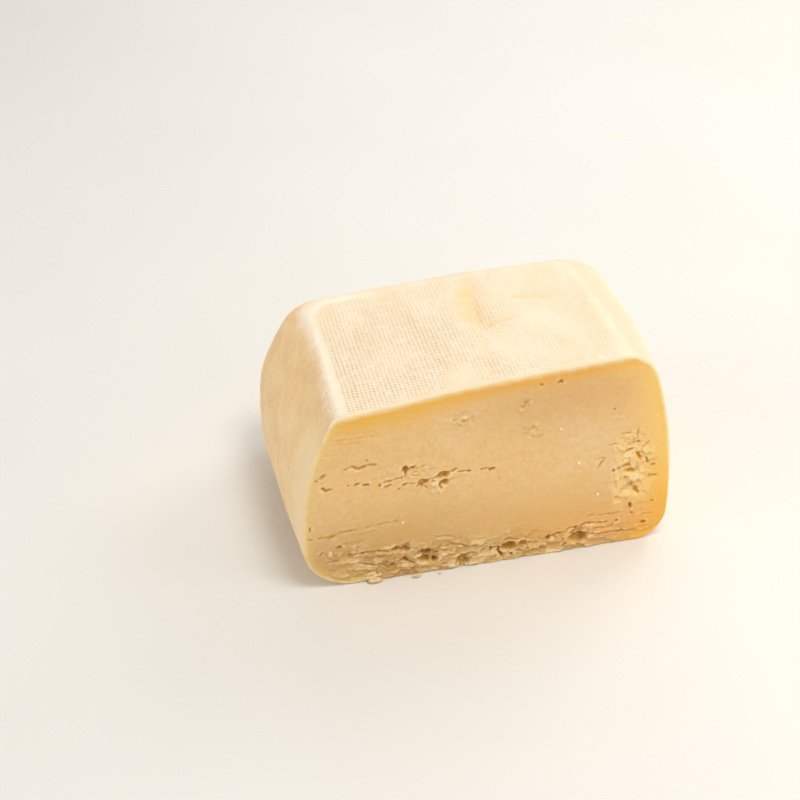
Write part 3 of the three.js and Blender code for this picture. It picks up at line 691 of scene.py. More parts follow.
def cut_relief(x, z, level):
    """How far each point of the cut stands back, and the weights that colour it.

    Waves, curd, scuffs, scoops, holes and cracks are added up. The sum less its own blur is
    added once more by LIP_SHARE, which raises a lip round every hole and crack.
    """
    left, right, top, foot = rim_distance(x, z, level)
    inside = smooth(0.2, 2.4, np.minimum(np.minimum(left, right), top))
    band, patch = band_weight(x, z), patch_weight(x, z)
    deep, cracks = hole_depth(x, z, HOLES, 0.34, 0.62), crack_depth(x, z)
    scoops = hole_depth(x, z, SCOOPS, 1.1, 0.1) * (0.8 + 0.4 * rough_noise(x / 2.2, z / 1.6, 97))
    scuffs = hole_depth(x, z, SCUFFS, 0.6, 0.0) * rough_noise(x / 1.1, z / 0.8, 141, 2)
    curd, weights = curd_relief(x, z, inside, band, patch)
    back = inside * (paste_waves(x, z) + curd + scuffs + scoops + np.maximum(deep, cracks))
    proud = softened(back, LIP_ROUNDS) - back
    lips = LIP_SHARE * np.clip(proud, -LIP_DEEPEST, LIP_HIGHEST)
    rim = np.minimum(np.minimum(left, right), np.minimum(top, foot))
    edge = EDGE_FALL * smooth(0.7, 0.0, rim) ** 2
    fleck = smooth(-0.2, 0.5, rough_noise(x / 1.7, z / 1.3, 119, 2))
    weights |= {
        # painted shade: holes and cracks darker with their depth, darkest in the deepest
        "hollow": inside * np.clip(deep / 2.0 + cracks / 1.8, 0.0, 1.0),
        "deep_shade": inside * smooth(2.4, 4.6, deep + cracks),
        # painted shade in recesses, found from the relief less its blur
        "cavity_shade": inside * np.clip(-proud / 0.3, 0.0, 1.0) * (1 - 0.5 * band + 0.8 * patch),
        # pale dry edges, and painted highlight on lips standing proud round holes and cracks
        "lip": inside * np.clip(proud / 0.16, 0.0, 1.0) * fleck,
        # painted shade: darker with the depth of the scoops in the band
        "scoop_shade": inside * np.clip(scoops / 1.3, 0.0, 1.0) * band,
    }
    return back - lips + edge, weights | paste_weights(x, z) | rim_weights(x, z, left, right, top)


# ---- Colour weights of the rind -------------------------------------------------------------


def top_print(x, y):
    """How clear the cloth print is on the top: worn to the right and back, faint in spots."""
    clear = (1 - 0.35 * smooth(2.0, 16.0, x)) * (1 - 0.3 * smooth(24.0, 44.0, x))
    clear = clear * (1 - 0.5 * smooth(34.0, 72.0, y))
    calm = np.max([spot(x, y, middle, (reach, reach)) for middle, reach in CALM_SPOTS], axis=0)
    worn = smooth(-0.5, 0.35, rough_noise(x / 16.0, y / 14.0, 133))
    return clear * (1 - 0.8 * calm) * (0.7 + 0.3 * worn)


def wall_print(x, y, down, left_side):
    """How clear the print is on the walls: near the ridge and the cut, most on the left."""
    below = down + 5.0 * rough_noise(x / 12.0, y / 9.0, 137)
    near = smooth(24.0, 6.0, below) * smooth(0.5, 4.5, down) * smooth(66.0, 44.0, y)
    return (0.2 + 0.75 * left_side) * near


def rind_weights(points, down, across):
    """Where the rind is whitened, where it counts as wall, and how clear the cloth print is.

    The signed distance from the left ridge is the length down the wall, or less the length
    across the top. The white ridge is a bell of it, and the print stays off beside it.
    """
    x, y, z = points.T
    from_ridge = np.where(down > 0, down, -across)
    wobble = 1.1 * rough_noise(y / 7.0, x / 9.0, 131)
    left_side = smooth(-20.0, -42.0, x)
    right_side = smooth(48.5, 51.5, x + 0.03 * (y - 30.0)) * smooth(40.0, 60.0, z) * smooth(88.0, 62.0, y)
    left_wall = left_side * smooth(84.0, 76.0, y + 0.35 * (x + 52.0))
    fade = 1.5 + 6.0 * smooth(40.0, 80.0, y)
    # this weight also paints the walls with warm bounce light and shade
    wall = smooth(fade, fade + 7.0, down) * left_wall + smooth(7.0, 18.0, down) * (1 - left_wall)
    bare = left_side * smooth(2.8, 1.2, np.abs(from_ridge - 1.1 + 0.5 * wobble))
    prints = np.where(down > 0, wall_print(x, y, down, left_side), top_print(x, y) * (1 - right_side))
    return {
        "ridge": 0.8 * bell(from_ridge - 1.5 + 0.8 * wobble, 1.7) * left_side,
        "wall": wall * (1 - right_side),
        # painted shade in the cloth folds of the top
        "fold_shade": np.where(down > 0, 0.0, fold_shade_weight(x, y)),
        # painted shade: the right shoulder toned down against the strong light from the right
        "shoulder": right_side * smooth(24.0, 6.0, down),
        "print": prints * (1 - bare) * smooth(0.2, 2.2, y),
        "bloom": left_side * smooth(15.0, 3.0, down) * smooth(0.0, 2.0, down),
        # painted light: the left wall lighter low down near the cut
        "edge": smooth(26.0, 3.0, y) * smooth(8.0, 26.0, down) * left_side,
    }


# ---- Meshes ---------------------------------------------------------------------------------


def grid_faces(ids, maps, turned):
    """The quads of a grid of points, with a map place for each corner."""
    corners = [(slice(None, -1), slice(None, -1)), (slice(None, -1), slice(1, None)),
               (slice(1, None), slice(1, None)), (slice(1, None), slice(None, -1))]
    if turned:
        corners = corners[::-1]
    faces = np.stack([ids[corner] for corner in corners], axis=-1).reshape(-1, 4)
    places = np.stack([maps[corner] for corner in corners], axis=-2).reshape(-1, 4, 2)
    return faces, places


def stitch_faces(fine_ids, fine_maps, coarse_ids, coarse_maps, turned):
    """Triangles between a row of 3n + 1 points and a row of n + 1: a fan of three, and one."""
    n = len(coarse_ids) - 1
    fine = [slice(k, FINE * n + k // FINE, FINE) for k in range(FINE + 1)]
    near, far = slice(0, n), slice(1, n + 1)
    picks = [
        [(0, fine[0]), (0, fine[1]), (1, near)],
        [(0, fine[1]), (0, fine[2]), (1, near)],
        [(0, fine[2]), (1, far), (1, near)],
        [(0, fine[2]), (0, fine[3]), (1, far)],
    ]
    rows = ((fine_ids, fine_maps), (coarse_ids, coarse_maps))
    faces, places = [], []
    for pick in picks:
        pick = pick[::-1] if turned else pick
        faces.append(np.stack([rows[row][0][part] for row, part in pick], axis=-1))
        places.append(np.stack([rows[row][1][part] for row, part in pick], axis=-2))
    return np.concatenate(faces), np.concatenate(places)


def make_mesh(name, points, patches, materials):
    """A mesh from points in millimetres and patches of (faces, map places, material)."""
    mesh = bpy.data.meshes.new(name)
    faces = [face for patch in patches for face in patch[0].tolist()]
    mesh.from_pydata((points * MM).tolist(), [], faces)
    if patches[0][1] is not None:
        places = np.concatenate([patch[1].reshape(-1, 2) for patch in patches])
        layer = mesh.uv_layers.new(name="cloth")
        layer.data.foreach_set("uv", places.astype(np.float32).ravel())
    slots = np.concatenate([np.full(len(patch[0]), patch[2]) for patch in patches])
    for material in materials:
        mesh.materials.append(material)
    mesh.polygons.foreach_set("material_index", slots.astype(np.int32))
    mesh.polygons.foreach_set("use_smooth", np.ones(len(faces), bool))
    mesh.update()
    piece = bpy.data.objects.new(name, mesh)
    bpy.context.scene.collection.objects.link(piece)
    return piece


def give_weight(mesh, name, values):
    """Stores one number for each point of the mesh, for a material to read."""
    layer = mesh.attributes.new(name, "FLOAT", "POINT")
    layer.data.foreach_set("value", values.astype(np.float32))


def cloth_places(rind, down):
    """Where each rind point lies on the pressing cloth: wrapped over the shoulders and down.

    On the side walls the cloth runs on sideways by the length down the wall, and on the back
    it runs on backwards by that length. On the left wall it was pulled askew by WALL_SLANT.
    """
    left, back, right = (part for part, plain, seam in WALL_PARTS)
    x, y = rind[-1, :, 0], rind[-1, :, 1]
    left_along, right_along = walked(rind[:, left]), walked(rind[:, right][:, ::-1])[:, ::-1]
    return (
        np.stack([x[left] - down[:, left], left_along - WALL_SLANT * down[:, left]], axis=-1),
        np.stack([x[back] + 0 * down[:, back], y[back] + down[:, back]], axis=-1),
        np.stack([x[right] + down[:, right], right_along], axis=-1),
    )


def stretched_top(ridge, cut_edge):
    """The top between its four edges: both ways across are added, less the four corners."""
    left, right = ridge[:RIND_ALONG + 1], ridge[:-RIND_ALONG - 2:-1]
    back = ridge[RIND_ALONG:len(ridge) - RIND_ALONG]
    u = fine_shares()[None, ::FINE, None]
    v = row_shares()[:, None, None]
    across = left[:, None] * (1 - u) + right[:, None] * u
    along = cut_edge[None] * (1 - v) + back[None] * v
    corners = (left[0] * (1 - u) + right[0] * u) * (1 - v) + (left[-1] * (1 - u) + right[-1] * u) * v
    top = across + along - corners
    inner = top[1:-1, 1:-1]
    plan_y = inner[..., 1] / (1 - BACK_SKEW * inner[..., 0] / HALF_CUT)
    inner[..., 2] = top_height(inner[..., 0] - TOP_SHIFT * plan_y, plan_y)
    return top


def cut_grid(level):
    """The cut face as rows of points from foot to top, its weights, and the gap to the left.

    Points deep in a hollow are also raised by HOLLOW_RISE of their depth, so that its upper
    edge overhangs.
    """
    left = -HALF_CUT + wall_inset(level, LEFT_WALL)
    right = HALF_CUT - wall_inset(level, RIGHT_WALL)
    gap = (right - left)[:, None] * fine_shares()[None, :]
    x = left[:, None] + gap
    up = level[:, None] + 0 * x
    cut = placed(x, 0 * x, up)
    back, weights = cut_relief(cut[..., 0], cut[..., 2], up)
    cut[..., 1] += back
    clear = smooth(0.0, 3.0, cut[..., 2]) * smooth(1.0, 3.5, (1 - up) * LEVEL_HEIGHT)
    cut[..., 2] += HOLLOW_RISE * np.clip(back - 0.8, 0.0, None) * clear
    return cut, weights, gap


def rind_grid(level, cut):
    """The walls as rows of points from foot to top, round from the cut's left rim to its right."""
    plan_x, plan_y = plan_outline(level)
    rind = placed(plan_x, plan_y, level[:, None] + 0 * plan_x)
    rind[:, 0], rind[:, -1] = cut[::FINE, 0], cut[::FINE, -1]
    return rind


def skin_ids(cut, rind, top):
    """Point numbers of the three grids, which share the rim of the cut and the ridge."""
    cut_ids = np.arange(cut[..., 0].size).reshape(cut.shape[:2])
    rind_ids = cut_ids.size + np.arange(rind[:, 1:-1, 0].size).reshape(len(rind), -1)
    rind_ids = np.concatenate([cut_ids[::FINE, :1], rind_ids, cut_ids[::FINE, -1:]], axis=1)
    top_ids = np.zeros(top.shape[:2], int)
    top_ids[0] = cut_ids[-1, ::FINE]
    top_ids[:, 0], top_ids[:, -1] = rind_ids[-1, :RIND_ALONG + 1], rind_ids[-1, :-RIND_ALONG - 2:-1]
    top_ids[-1] = rind_ids[-1, RIND_ALONG:-RIND_ALONG]
    inner = top_ids[1:-1, 1:-1]
    inner[...] = rind_ids.max() + 1 + np.arange(inner.size).reshape(inner.shape)
    return cut_ids, rind_ids, top_ids


def all_points(cut, rind, top, under):
    """What belongs to each point of the skin, in the order of the point numbers."""
    tail = cut.shape[2:]
    parts = [part.reshape(-1, *tail) for part in (cut, rind[:, 1:-1], top[1:-1, 1:-1])]
    return np.concatenate([*parts, under])


def wall_patches(cut_ids, rind_ids, level, places):
    """Faces of the walls: quads, and fans along the seams with the finer cut face."""
    patches = []
    for (part, plain, seam), mapped in zip(WALL_PARTS, places):
        ids = rind_ids[:, part]
        patches.append((*grid_faces(ids[:, plain], mapped[:, plain], True), 0))
        if seam:
            column, neighbour, turned = seam
            rim = np.stack([np.interp(level, level[::FINE], mapped[:, column, k]) for k in (0, 1)], axis=-1)
            rows = (cut_ids[:, column], rim, ids[:, neighbour], mapped[:, neighbour])
            patches.append((*stitch_faces(*rows, turned), 0))
    return patches


def trim_strip(strip, flat):
    """Triangles between the foot of the cut and the shelf behind it, which share both ends."""
    near, far = strip
    first = np.stack([near[:-1], far[:-1], near[1:]], axis=-1)[1:]
    second = np.stack([near[1:], far[:-1], far[1:]], axis=-1)[:-1]
    faces = np.concatenate([first, second])
    return faces, flat[faces]


def underside_patches(cut_ids, rind_ids, shelf_ids, flat):
    """Faces of the flat underside: a strip along the cut's foot, and a fan round the middle."""
    shelf_row = np.concatenate([[rind_ids[0, 0]], shelf_ids, [rind_ids[0, -1]]])
    ring = np.concatenate([rind_ids[0], shelf_ids[::-1]])
    middle_id = shelf_ids[-1] + 1
    fan = np.stack([np.full(len(ring), middle_id), ring, np.roll(ring, -1)], axis=-1)
    return [(*trim_strip(np.stack([cut_ids[0], shelf_row]), flat), 0), (fan, flat[fan], 0)]


def middle_of_cut(points):
    """Where the middle of the cut's foot goes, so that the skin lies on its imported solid."""
    middle = (points[:, 0].min() + points[:, 0].max()) / 2
    across = (cad_low.x + cad_high.x) / (2 * MM) - middle
    return np.array([across, cad_high.y / MM - points[:, 1].max(), 0.0])


def loaf(materials):
    """The whole skin of the loaf: cut face, walls, top and underside share their edges."""
    level = fine_levels()
    cut, cut_weights, cut_gap = cut_grid(level)
    rind = rind_grid(level[::FINE], cut)
    top = stretched_top(rind[-1], cut[-1, ::FINE])
    shelf = cut[0, 1:-1] * [1, 0, 0] + [0, SHELF_BACK, 0]
    points = all_points(cut, rind, top, np.concatenate([shelf, [[0.0, DEPTH / 2, 0.0]]]))
    flat = points[:, :2]

    cut_ids, rind_ids, top_ids = skin_ids(cut, rind, top)
    shelf_ids = top_ids.max() + 1 + np.arange(len(shelf))
    down = walked(rind[::-1].swapaxes(0, 1)).T[::-1]
    patches = [
        (*grid_faces(cut_ids, cut[..., [0, 2]], False), 1),
        *wall_patches(cut_ids, rind_ids, level, cloth_places(rind, down)),
        (*grid_faces(top_ids[1:], top[1:, :, :2], False), 0),
        (*stitch_faces(cut_ids[-1], cut[-1, :, :2], top_ids[1], top[1, :, :2], False), 0),
        *underside_patches(cut_ids, rind_ids, shelf_ids, flat),
    ]
    cut_middle = middle_of_cut(points)
    piece = make_mesh("cheese_half_loaf", points + cut_middle, patches, materials)

    bottom = np.full(len(shelf) + 1, LEVEL_HEIGHT)
    across = np.linalg.norm(top - top[:, :1], axis=-1)
    ridge_gap = np.clip(rind[-1, :, 0] - rind[-1, RIND_ALONG, 0], 0.0, None)
    cut_down = (1 - level[:, None]) * LEVEL_HEIGHT + 0 * cut_gap
    downs = all_points(cut_down, down, 0 * across, bottom)
    gaps = all_points(cut_gap, ridge_gap + 0 * down, across, bottom)
    for name, values in cut_weights.items():
        give_weight(piece.data, name, np.pad(values.ravel(), (0, len(points) - values.size)))
    for name, values in rind_weights(points, downs, gaps).items():
        give_weight(piece.data, name, values)
    return piece, cut_middle


def crumb(centre, size, seed):
    """A rough lump: a ball of latitude and longitude, dented by noise, flattened to its size."""
    polar = np.linspace(0.0, np.pi, 13)[1:-1, None]
    around = np.linspace(0.0, 2 * np.pi, 19)[None, :-1]
    x, y = np.sin(polar) * np.cos(around), np.sin(polar) * np.sin(around)
    z = np.cos(polar) + 0 * around
    dents = 1 + 0.3 * rough_noise(x * 1.6 + seed, y * 1.6 + z * 2.1, seed, 2)
    rows = np.stack([x, y, z], axis=-1) * dents[..., None]
    ids = np.arange(rows[..., 0].size).reshape(rows.shape[:2])
    ids = np.concatenate([ids, ids[:, :1]], axis=1)
    points = np.concatenate([rows.reshape(-1, 3), [[0, 0, 1.0], [0, 0, -1.0]]])
    quads = grid_faces(ids, np.zeros((*ids.shape, 2)), True)[0]
    north, south = len(points) - 2, len(points) - 1
    cap = np.stack([ids[0, :-1], ids[0, 1:], np.full(ids.shape[1] - 1, north)], axis=-1)
    base = np.stack([ids[-1, 1:], ids[-1, :-1], np.full(ids.shape[1] - 1, south)], axis=-1)
    return points * np.array(size) / 2 + np.array(centre), quads, np.concatenate([cap, base])


def crumbs(cut_middle, materials):
    """All crumbs as one piece, lying at the foot of the cut or caught on it."""
    points, patches, first = [], [], 0
    for seed, (centre, size) in enumerate(CRUMBS):
        lump, quads, caps = crumb(np.array(centre) + cut_middle, size, seed + 3)
        points.append(lump)
        kind = int(seed >= FOOT_CRUMBS)
        patches += [(quads + first, None, kind), (caps + first, None, kind)]
        first += len(lump)
    return make_mesh("loose_crumbs", np.concatenate(points), patches, materials)


# ---- Materials ------------------------------------------------------------------------------


class Finish:
    """A material's node tree, with short ways to add the few kinds of node that are used."""

    def __init__(self, name):
        self.material = bpy.data.materials.new(name)
        self.material.use_nodes = True
        self.nodes = self.material.node_tree.nodes
        self.links = self.material.node_tree.links
        self.shader = self.nodes["Principled BSDF"]
        self.place = self.add("ShaderNodeTexCoord").outputs["Object"]

    def add(self, kind, **settings):
        """A new node of a kind, with its settings."""
        node = self.nodes.new(kind)
        for name, value in settings.items():
            setattr(node, name, value)
        return node

    def put(self, value, socket):
        """Links an output to a socket, or sets a plain value on it."""
        if isinstance(value, bpy.types.NodeSocket):
            self.links.new(value, socket)
        else:
            socket.default_value = value

    def look(self, **values):
        """Puts each value into the shader's input of that name, with _ for a blank."""
        for name, value in values.items():
            self.put(value, self.shader.inputs[name.replace("_", " ")])

    def sum(self, kind, *values):
        """A sum of a kind, such as ADD or MULTIPLY, over two values."""
        node = self.add("ShaderNodeMath", operation=kind)
        for value, socket in zip(values, node.inputs):
            self.put(value, socket)
        return node.outputs[0]

    def weight(self, name):
        """A weight of the mesh."""
        return self.add("ShaderNodeAttribute", attribute_name=name).outputs["Fac"]

    def share(self, name, part):
        """A weight of the mesh times a fixed part."""
        return self.sum("MULTIPLY", self.weight(name), part)

    def noise(self, pitch, detail=3.0, rough=0.55, stretch=None):
        """Noise with lumps of about the given pitch in metres, closer together by stretch."""
        node = self.add("ShaderNodeTexNoise")
        for name, value in (("Scale", 1.0 / pitch), ("Detail", detail), ("Roughness", rough)):
            node.inputs[name].default_value = value
        start = self.place
        if stretch:
            mapping = self.add("ShaderNodeMapping")
            mapping.inputs["Scale"].default_value = stretch
            self.links.new(start, mapping.inputs["Vector"])
            start = mapping.outputs[0]
        self.links.new(start, node.inputs["Vector"])
        return node.outputs["Fac"]

    def ramp(self, value, low, high, start=0.0, end=1.0):
        """A smooth rise from start to end while the value goes from low to high."""
        node = self.add("ShaderNodeMapRange", interpolation_type="SMOOTHSTEP")
        for number, item in enumerate((value, low, high, start, end)):
            self.put(item, node.inputs[number])
        return node.outputs[0]

    def blend(self, share, first, second):
        """The first colour, with a share of the second over it."""
        node = self.add("ShaderNodeMix", data_type="RGBA")
        for number, item in ((0, share), (6, first), (7, second)):
            self.put(item, node.inputs[number])
        return node.outputs[2]

    def coats(self, tone, *coats):
        """Lays colours over a tone one by one, each by a weight of the mesh times its part."""
        for name, part, tint in coats:
            tone = self.blend(self.share(name, part), tone, tint)
        return tone

    def bump(self, height, distance, strength, under=None):
        """A shading normal from a height, over the normal of a finer bump."""
        node = self.add("ShaderNodeBump")
        node.inputs["Distance"].default_value = distance
        node.inputs["Strength"].default_value = strength
        self.put(height, node.inputs["Height"])
        if under is not None:
            self.links.new(under, node.inputs["Normal"])
        return node.outputs[0]

    def set_depth(self, weight, scale, shine):
        """Lets light travel under the surface, furthest in red, and sets how much it mirrors."""
        self.look(Subsurface_Weight=weight, Subsurface_Radius=LIGHT_TRAVEL,
                  Subsurface_Scale=scale, Specular_IOR_Level=shine)


def colour(red, green, blue):
    """A linear colour from screen values of 0 to 255."""
    def linear(value):
        value = value / 255
        return value / 12.92 if value <= 0.04045 else ((value + 0.055) / 1.055) ** 2.4
    return (linear(red), linear(green), linear(blue), 1.0)


PASTE = colour(244, 210, 158)
PASTE_WARM = colour(244, 205, 146)
# Painted glow: the golden strip under the top rind, and the glows at the right, bottom and left rims, where
# light shines through the rind
PASTE_TOP_GLOW = colour(246, 190, 84)
PASTE_TOP_GLOW_TAN = colour(236, 172, 76)
PASTE_GLOW = colour(255, 210, 118)
PASTE_AMBER = colour(255, 190, 74)
PASTE_GREEN = colour(240, 212, 130)
PASTE_TAN = colour(224, 177, 116)
# Painted shade for the foot of the cut
PASTE_FOOT_SHADE = colour(208, 164, 102)
PASTE_HONEY = colour(241, 197, 126)
PASTE_PALE = colour(253, 233, 194)
# Painted shade in holes, cracks and recesses
PASTE_HOLLOW_SHADE = colour(224, 168, 42)
PASTE_DEEP_SHADE = colour(130, 86, 4)
PASTE_PATCH_HOLLOW_SHADE = colour(252, 190, 34)
PASTE_ORANGE = colour(255, 214, 146)
PASTE_CREAM = colour(255, 226, 170)
PASTE_BRONZE = colour(242, 174, 82)
CURD_PALE = colour(212, 172, 106)
CURD_GREY = colour(204, 160, 94)
CURD_DRY = colour(250, 226, 178)
# Darker curd: the colour of the darker lumps, and painted shade in scoops and hollows of the band
CURD_DARK_AND_SHADE = colour(178, 132, 52)
RIND = colour(243, 225, 200)
# Painted shade on the right shoulder
RIND_SHOULDER_SHADE = colour(232, 208, 176)
RIND_WARM = colour(240, 219, 187)
RIND_WHITE = colour(254, 247, 236)
RIND_RIDGE = colour(254, 241, 220)
# Painted light on the left wall, low down near the cut
RIND_FRONT_LIGHT = colour(255, 226, 182)
# Painted warm bounce light and shade on the walls
RIND_WALL_BOUNCE_SHADE = colour(252, 214, 156)
RIND_BLOTCH = colour(236, 188, 124)
CLOTH_SHADE = colour(212, 184, 132)
# Painted shade in the cloth folds of the top
FOLD_SHADE = colour(240, 206, 144)
WALL_SHADE = colour(236, 190, 124)
# Painted shade: the tan of the crumbs lying at the foot
CRUMB_TAN_SHADE = colour(220, 186, 130)
CRUMB_PALE = colour(240, 214, 166)
SPECK_WARM = colour(255, 240, 200)
SPECK_PALE = colour(255, 246, 214)
FLOOR_GREY = colour(229, 227, 221)
FLOOR_PALE = colour(233, 231, 226)

# How far red, green and blue light travel under the surface, against each other.
LIGHT_TRAVEL = (1.0, 0.62, 0.35)


def paste_finish():
    """Moist paste: tan-yellow, with a painted golden glow under the rind, painted shade deeper in holes,
    pale where it crumbles.
    """
    f = Finish("cut_paste")
    tone = f.blend(f.ramp(f.noise(0.03, 2.0), 0.35, 0.65), PASTE, PASTE_WARM)
    mottle = f.ramp(f.noise(0.0035, 4.0, 0.7, (0.6, 1.0, 1.0)), 0.38, 0.66, 0.0, 0.5)
    tone = f.blend(mottle, tone, PASTE_HONEY)
    fine = f.ramp(f.noise(0.0017, 4.0, 0.7), 0.42, 0.68, 0.0, 0.3)
    tone = f.blend(fine, tone, PASTE_TAN)
    # painted glow: the golden strip under the top rind
    top_glow_tone = f.blend(f.weight("upper"), PASTE_TOP_GLOW, PASTE_TOP_GLOW_TAN)
    curd = f.blend(f.ramp(f.noise(0.006, 2.0, 0.5), 0.38, 0.62), CURD_GREY, CURD_PALE)
    dry = f.blend(f.weight("patch"), CURD_DRY, PASTE_CREAM)
    # painted shade in holes, cracks and recesses, warmer in the ragged patch
    under = f.blend(f.weight("patch"), PASTE_HOLLOW_SHADE, PASTE_PATCH_HOLLOW_SHADE)
    tone = f.coats(
        tone,
        # painted shade: the darker foot
        ("upper", 0.7, PASTE_TAN), ("lower", 0.6, PASTE_HONEY), ("foot", 0.8, PASTE_FOOT_SHADE),
        # painted glow: the golden strip under the top rind, and the glow at the right rim
        ("patch", 0.75, PASTE_ORANGE), ("painted_top_glow", 1.0, top_glow_tone), ("painted_right_glow", 0.95, PASTE_GLOW),
        ("crumble", 0.6, curd), ("stale", 0.35, CURD_DARK_AND_SHADE), ("lump", 0.55, CURD_DRY),
        # painted glow at the bottom right and along the left rim
        # painted shade in the scoops of the band
        ("low_glow", 0.85, PASTE_AMBER), ("painted_left_glow", 0.6, PASTE_GREEN), ("scoop_shade", 0.45, CURD_DARK_AND_SHADE),
        # painted shade in recesses round holes and cracks
        ("pale", 0.65, dry), ("low_right", 0.45, PASTE_BRONZE), ("cavity_shade", 0.5, under),
    )
    # painted shade inside holes and cracks, darkest in the deepest
    hollow = f.blend(f.weight("deep_shade"), f.coats(under, ("crumble", 0.5, CURD_DARK_AND_SHADE)), PASTE_DEEP_SHADE)
    # pale dry edges with painted highlight on the raised lips
    tone = f.coats(tone, ("hollow", 0.85, hollow), ("lip", 0.6, CURD_DRY), ("pale_rim", 1.0, PASTE_PALE))
    tone = f.blend(f.ramp(f.noise(0.0011, 2.0), 0.62, 0.76, 0.0, 0.14), tone, CURD_PALE)
    gloss = f.ramp(f.noise(0.008, 3.0), 0.3, 0.7, 0.42, 0.56)
    smear = f.noise(0.004, 3.0, 0.6, stretch=(0.35, 1.0, 2.2))
    grain = f.bump(f.noise(0.0009, 3.0), 0.00006, 0.6)
    f.look(Base_Color=tone, Roughness=f.sum("ADD", gloss, f.share("crumble", 0.12)),
           Normal=f.bump(smear, 0.00028, 0.7, grain))
    f.set_depth(0.25, 0.002, 0.22)
    return f.material


def thread(f, places, turns):
    """A wave from 0 to 1 across one set of threads: sine of the turns along each way."""
    across = f.sum("MULTIPLY", places.outputs[0], 2 * math.pi * turns[0])
    along = f.sum("MULTIPLY", places.outputs[1], 2 * math.pi * turns[1])
    return f.ramp(f.sum("SINE", f.sum("ADD", across, along)), -1.0, 0.35)


def cloth_gaps(f, wall):
    """The print of the cloth, from 0 to 1: the gaps between its threads, and where they cross.

    The place on the cloth drifts a little, so that no thread runs dead straight. On the walls
    only the rows across them show.
    """
    cloth = f.add("ShaderNodeUVMap", uv_map="cloth").outputs[0]
    sway = f.add("ShaderNodeTexNoise")
    sway.inputs["Scale"].default_value = 0.09
    drift = f.add("ShaderNodeVectorMath", operation="MULTIPLY_ADD")
    drift.inputs[1].default_value = (0.6, 0.6, 0.0)
    places = f.add("ShaderNodeSeparateXYZ")
    f.links.new(cloth, sway.inputs["Vector"])
    f.links.new(sway.outputs["Color"], drift.inputs[0])
    f.links.new(cloth, drift.inputs[2])
    f.links.new(drift.outputs[0], places.inputs[0])
    column_gap = f.sum("SUBTRACT", 1.0, thread(f, places, WARP))
    row_gap = f.sum("SUBTRACT", 1.0, thread(f, places, WEFT))
    crossing = f.sum("MULTIPLY", column_gap, row_gap)
    columns = f.sum("MULTIPLY", column_gap, f.sum("SUBTRACT", 0.34, f.sum("MULTIPLY", wall, 0.3)))
    rows = f.sum("MULTIPLY", row_gap, f.sum("ADD", 0.5, f.sum("MULTIPLY", wall, 0.5)))
    ticks = f.sum("MULTIPLY", crossing, f.sum("SUBTRACT", 0.7, f.sum("MULTIPLY", wall, 0.7)))
    gaps = f.sum("ADD", f.sum("ADD", columns, rows), ticks)
    patchy = f.ramp(f.noise(0.0024, 2.0), 0.3, 0.64, 0.5, 1.2)
    return f.sum("MULTIPLY", f.sum("MULTIPLY", gaps, patchy), f.share("print", 0.66))


def rind_finish():
    """Thin pale rind with the print of the pressing cloth, whitened along the left ridge."""
    f = Finish("cloth_rind")
    wall = f.weight("wall")
    gaps = cloth_gaps(f, wall)
    tone = f.blend(f.ramp(f.noise(0.012, 3.0, 0.6, (1.5, 0.4, 1.0)), 0.36, 0.64), RIND_WARM, RIND)
    # painted warm bounce light and shade: the walls warmer and darker than the top
    tone = f.coats(tone, ("wall", 0.85, RIND_WALL_BOUNCE_SHADE), ("bloom", 0.45, RIND_RIDGE))
    blotch = f.ramp(f.noise(0.011, 5.0, 0.7), 0.38, 0.66, 0.0, 0.55)
    tone = f.blend(f.sum("MULTIPLY", wall, blotch), tone, RIND_BLOTCH)
    gap_share = f.sum("MULTIPLY", gaps, f.sum("ADD", 0.7, f.sum("MULTIPLY", wall, 0.5)))
    tone = f.blend(gap_share, tone, f.blend(wall, CLOTH_SHADE, WALL_SHADE))
    frost = f.ramp(f.noise(0.005, 4.0, 0.65), 0.55, 0.75)
    tone = f.blend(f.sum("MULTIPLY", frost, 0.3), tone, RIND_WHITE)
    # painted light on the left wall near the cut
    # painted shade in the cloth folds
    tone = f.coats(tone, ("edge", 0.8, RIND_FRONT_LIGHT), ("fold_shade", 0.6, FOLD_SHADE),
                   # painted shade on the right shoulder
                   ("shoulder", 0.8, RIND_SHOULDER_SHADE))
    worn = f.ramp(f.noise(0.0035, 3.0, 0.6), 0.35, 0.6, 0.25, 0.85)
    tone = f.blend(f.sum("MULTIPLY", f.weight("ridge"), worn), tone, RIND_RIDGE)
    skin = f.bump(f.noise(0.0016, 3.0), 0.00006, 0.6)
    dips = f.bump(f.noise(0.007, 2.0), 0.0003, 0.5, skin)
    f.look(Base_Color=tone, Roughness=f.ramp(f.noise(0.01, 3.0), 0.3, 0.7, 0.5, 0.66),
           Normal=f.bump(f.sum("SUBTRACT", 1.0, gaps), 0.00032, 0.9, dips))
    f.set_depth(0.25, 0.0025, 0.42)
    return f.material


def crumb_finish(name, low, high):
    """Loose crumbs, drier than the paste: the specks paler than it, the crumbs at the foot darkened to a
    tan as painted shade.
    """
    f = Finish(name)
    f.look(Base_Color=f.blend(f.ramp(f.noise(0.0012), 0.35, 0.65), low, high), Roughness=0.62,
           Normal=f.bump(f.noise(0.0005), 0.00005, 0.6))
    f.set_depth(0.0, 0.0004, 0.3)
    return f.material


# ---- Stage ----------------------------------------------------------------------------------

# The camera, from the middle of the foot of the cut: place, turn about Z and tilt down.
CAMERA_FROM_CUT = (-0.1398, -0.4359, 0.3788)
CAMERA_TURN = math.radians(-13.77)
CAMERA_DOWN = math.radians(34.0)
CAMERA_LENS = 73.39
CAMERA_SENSOR = 36.0

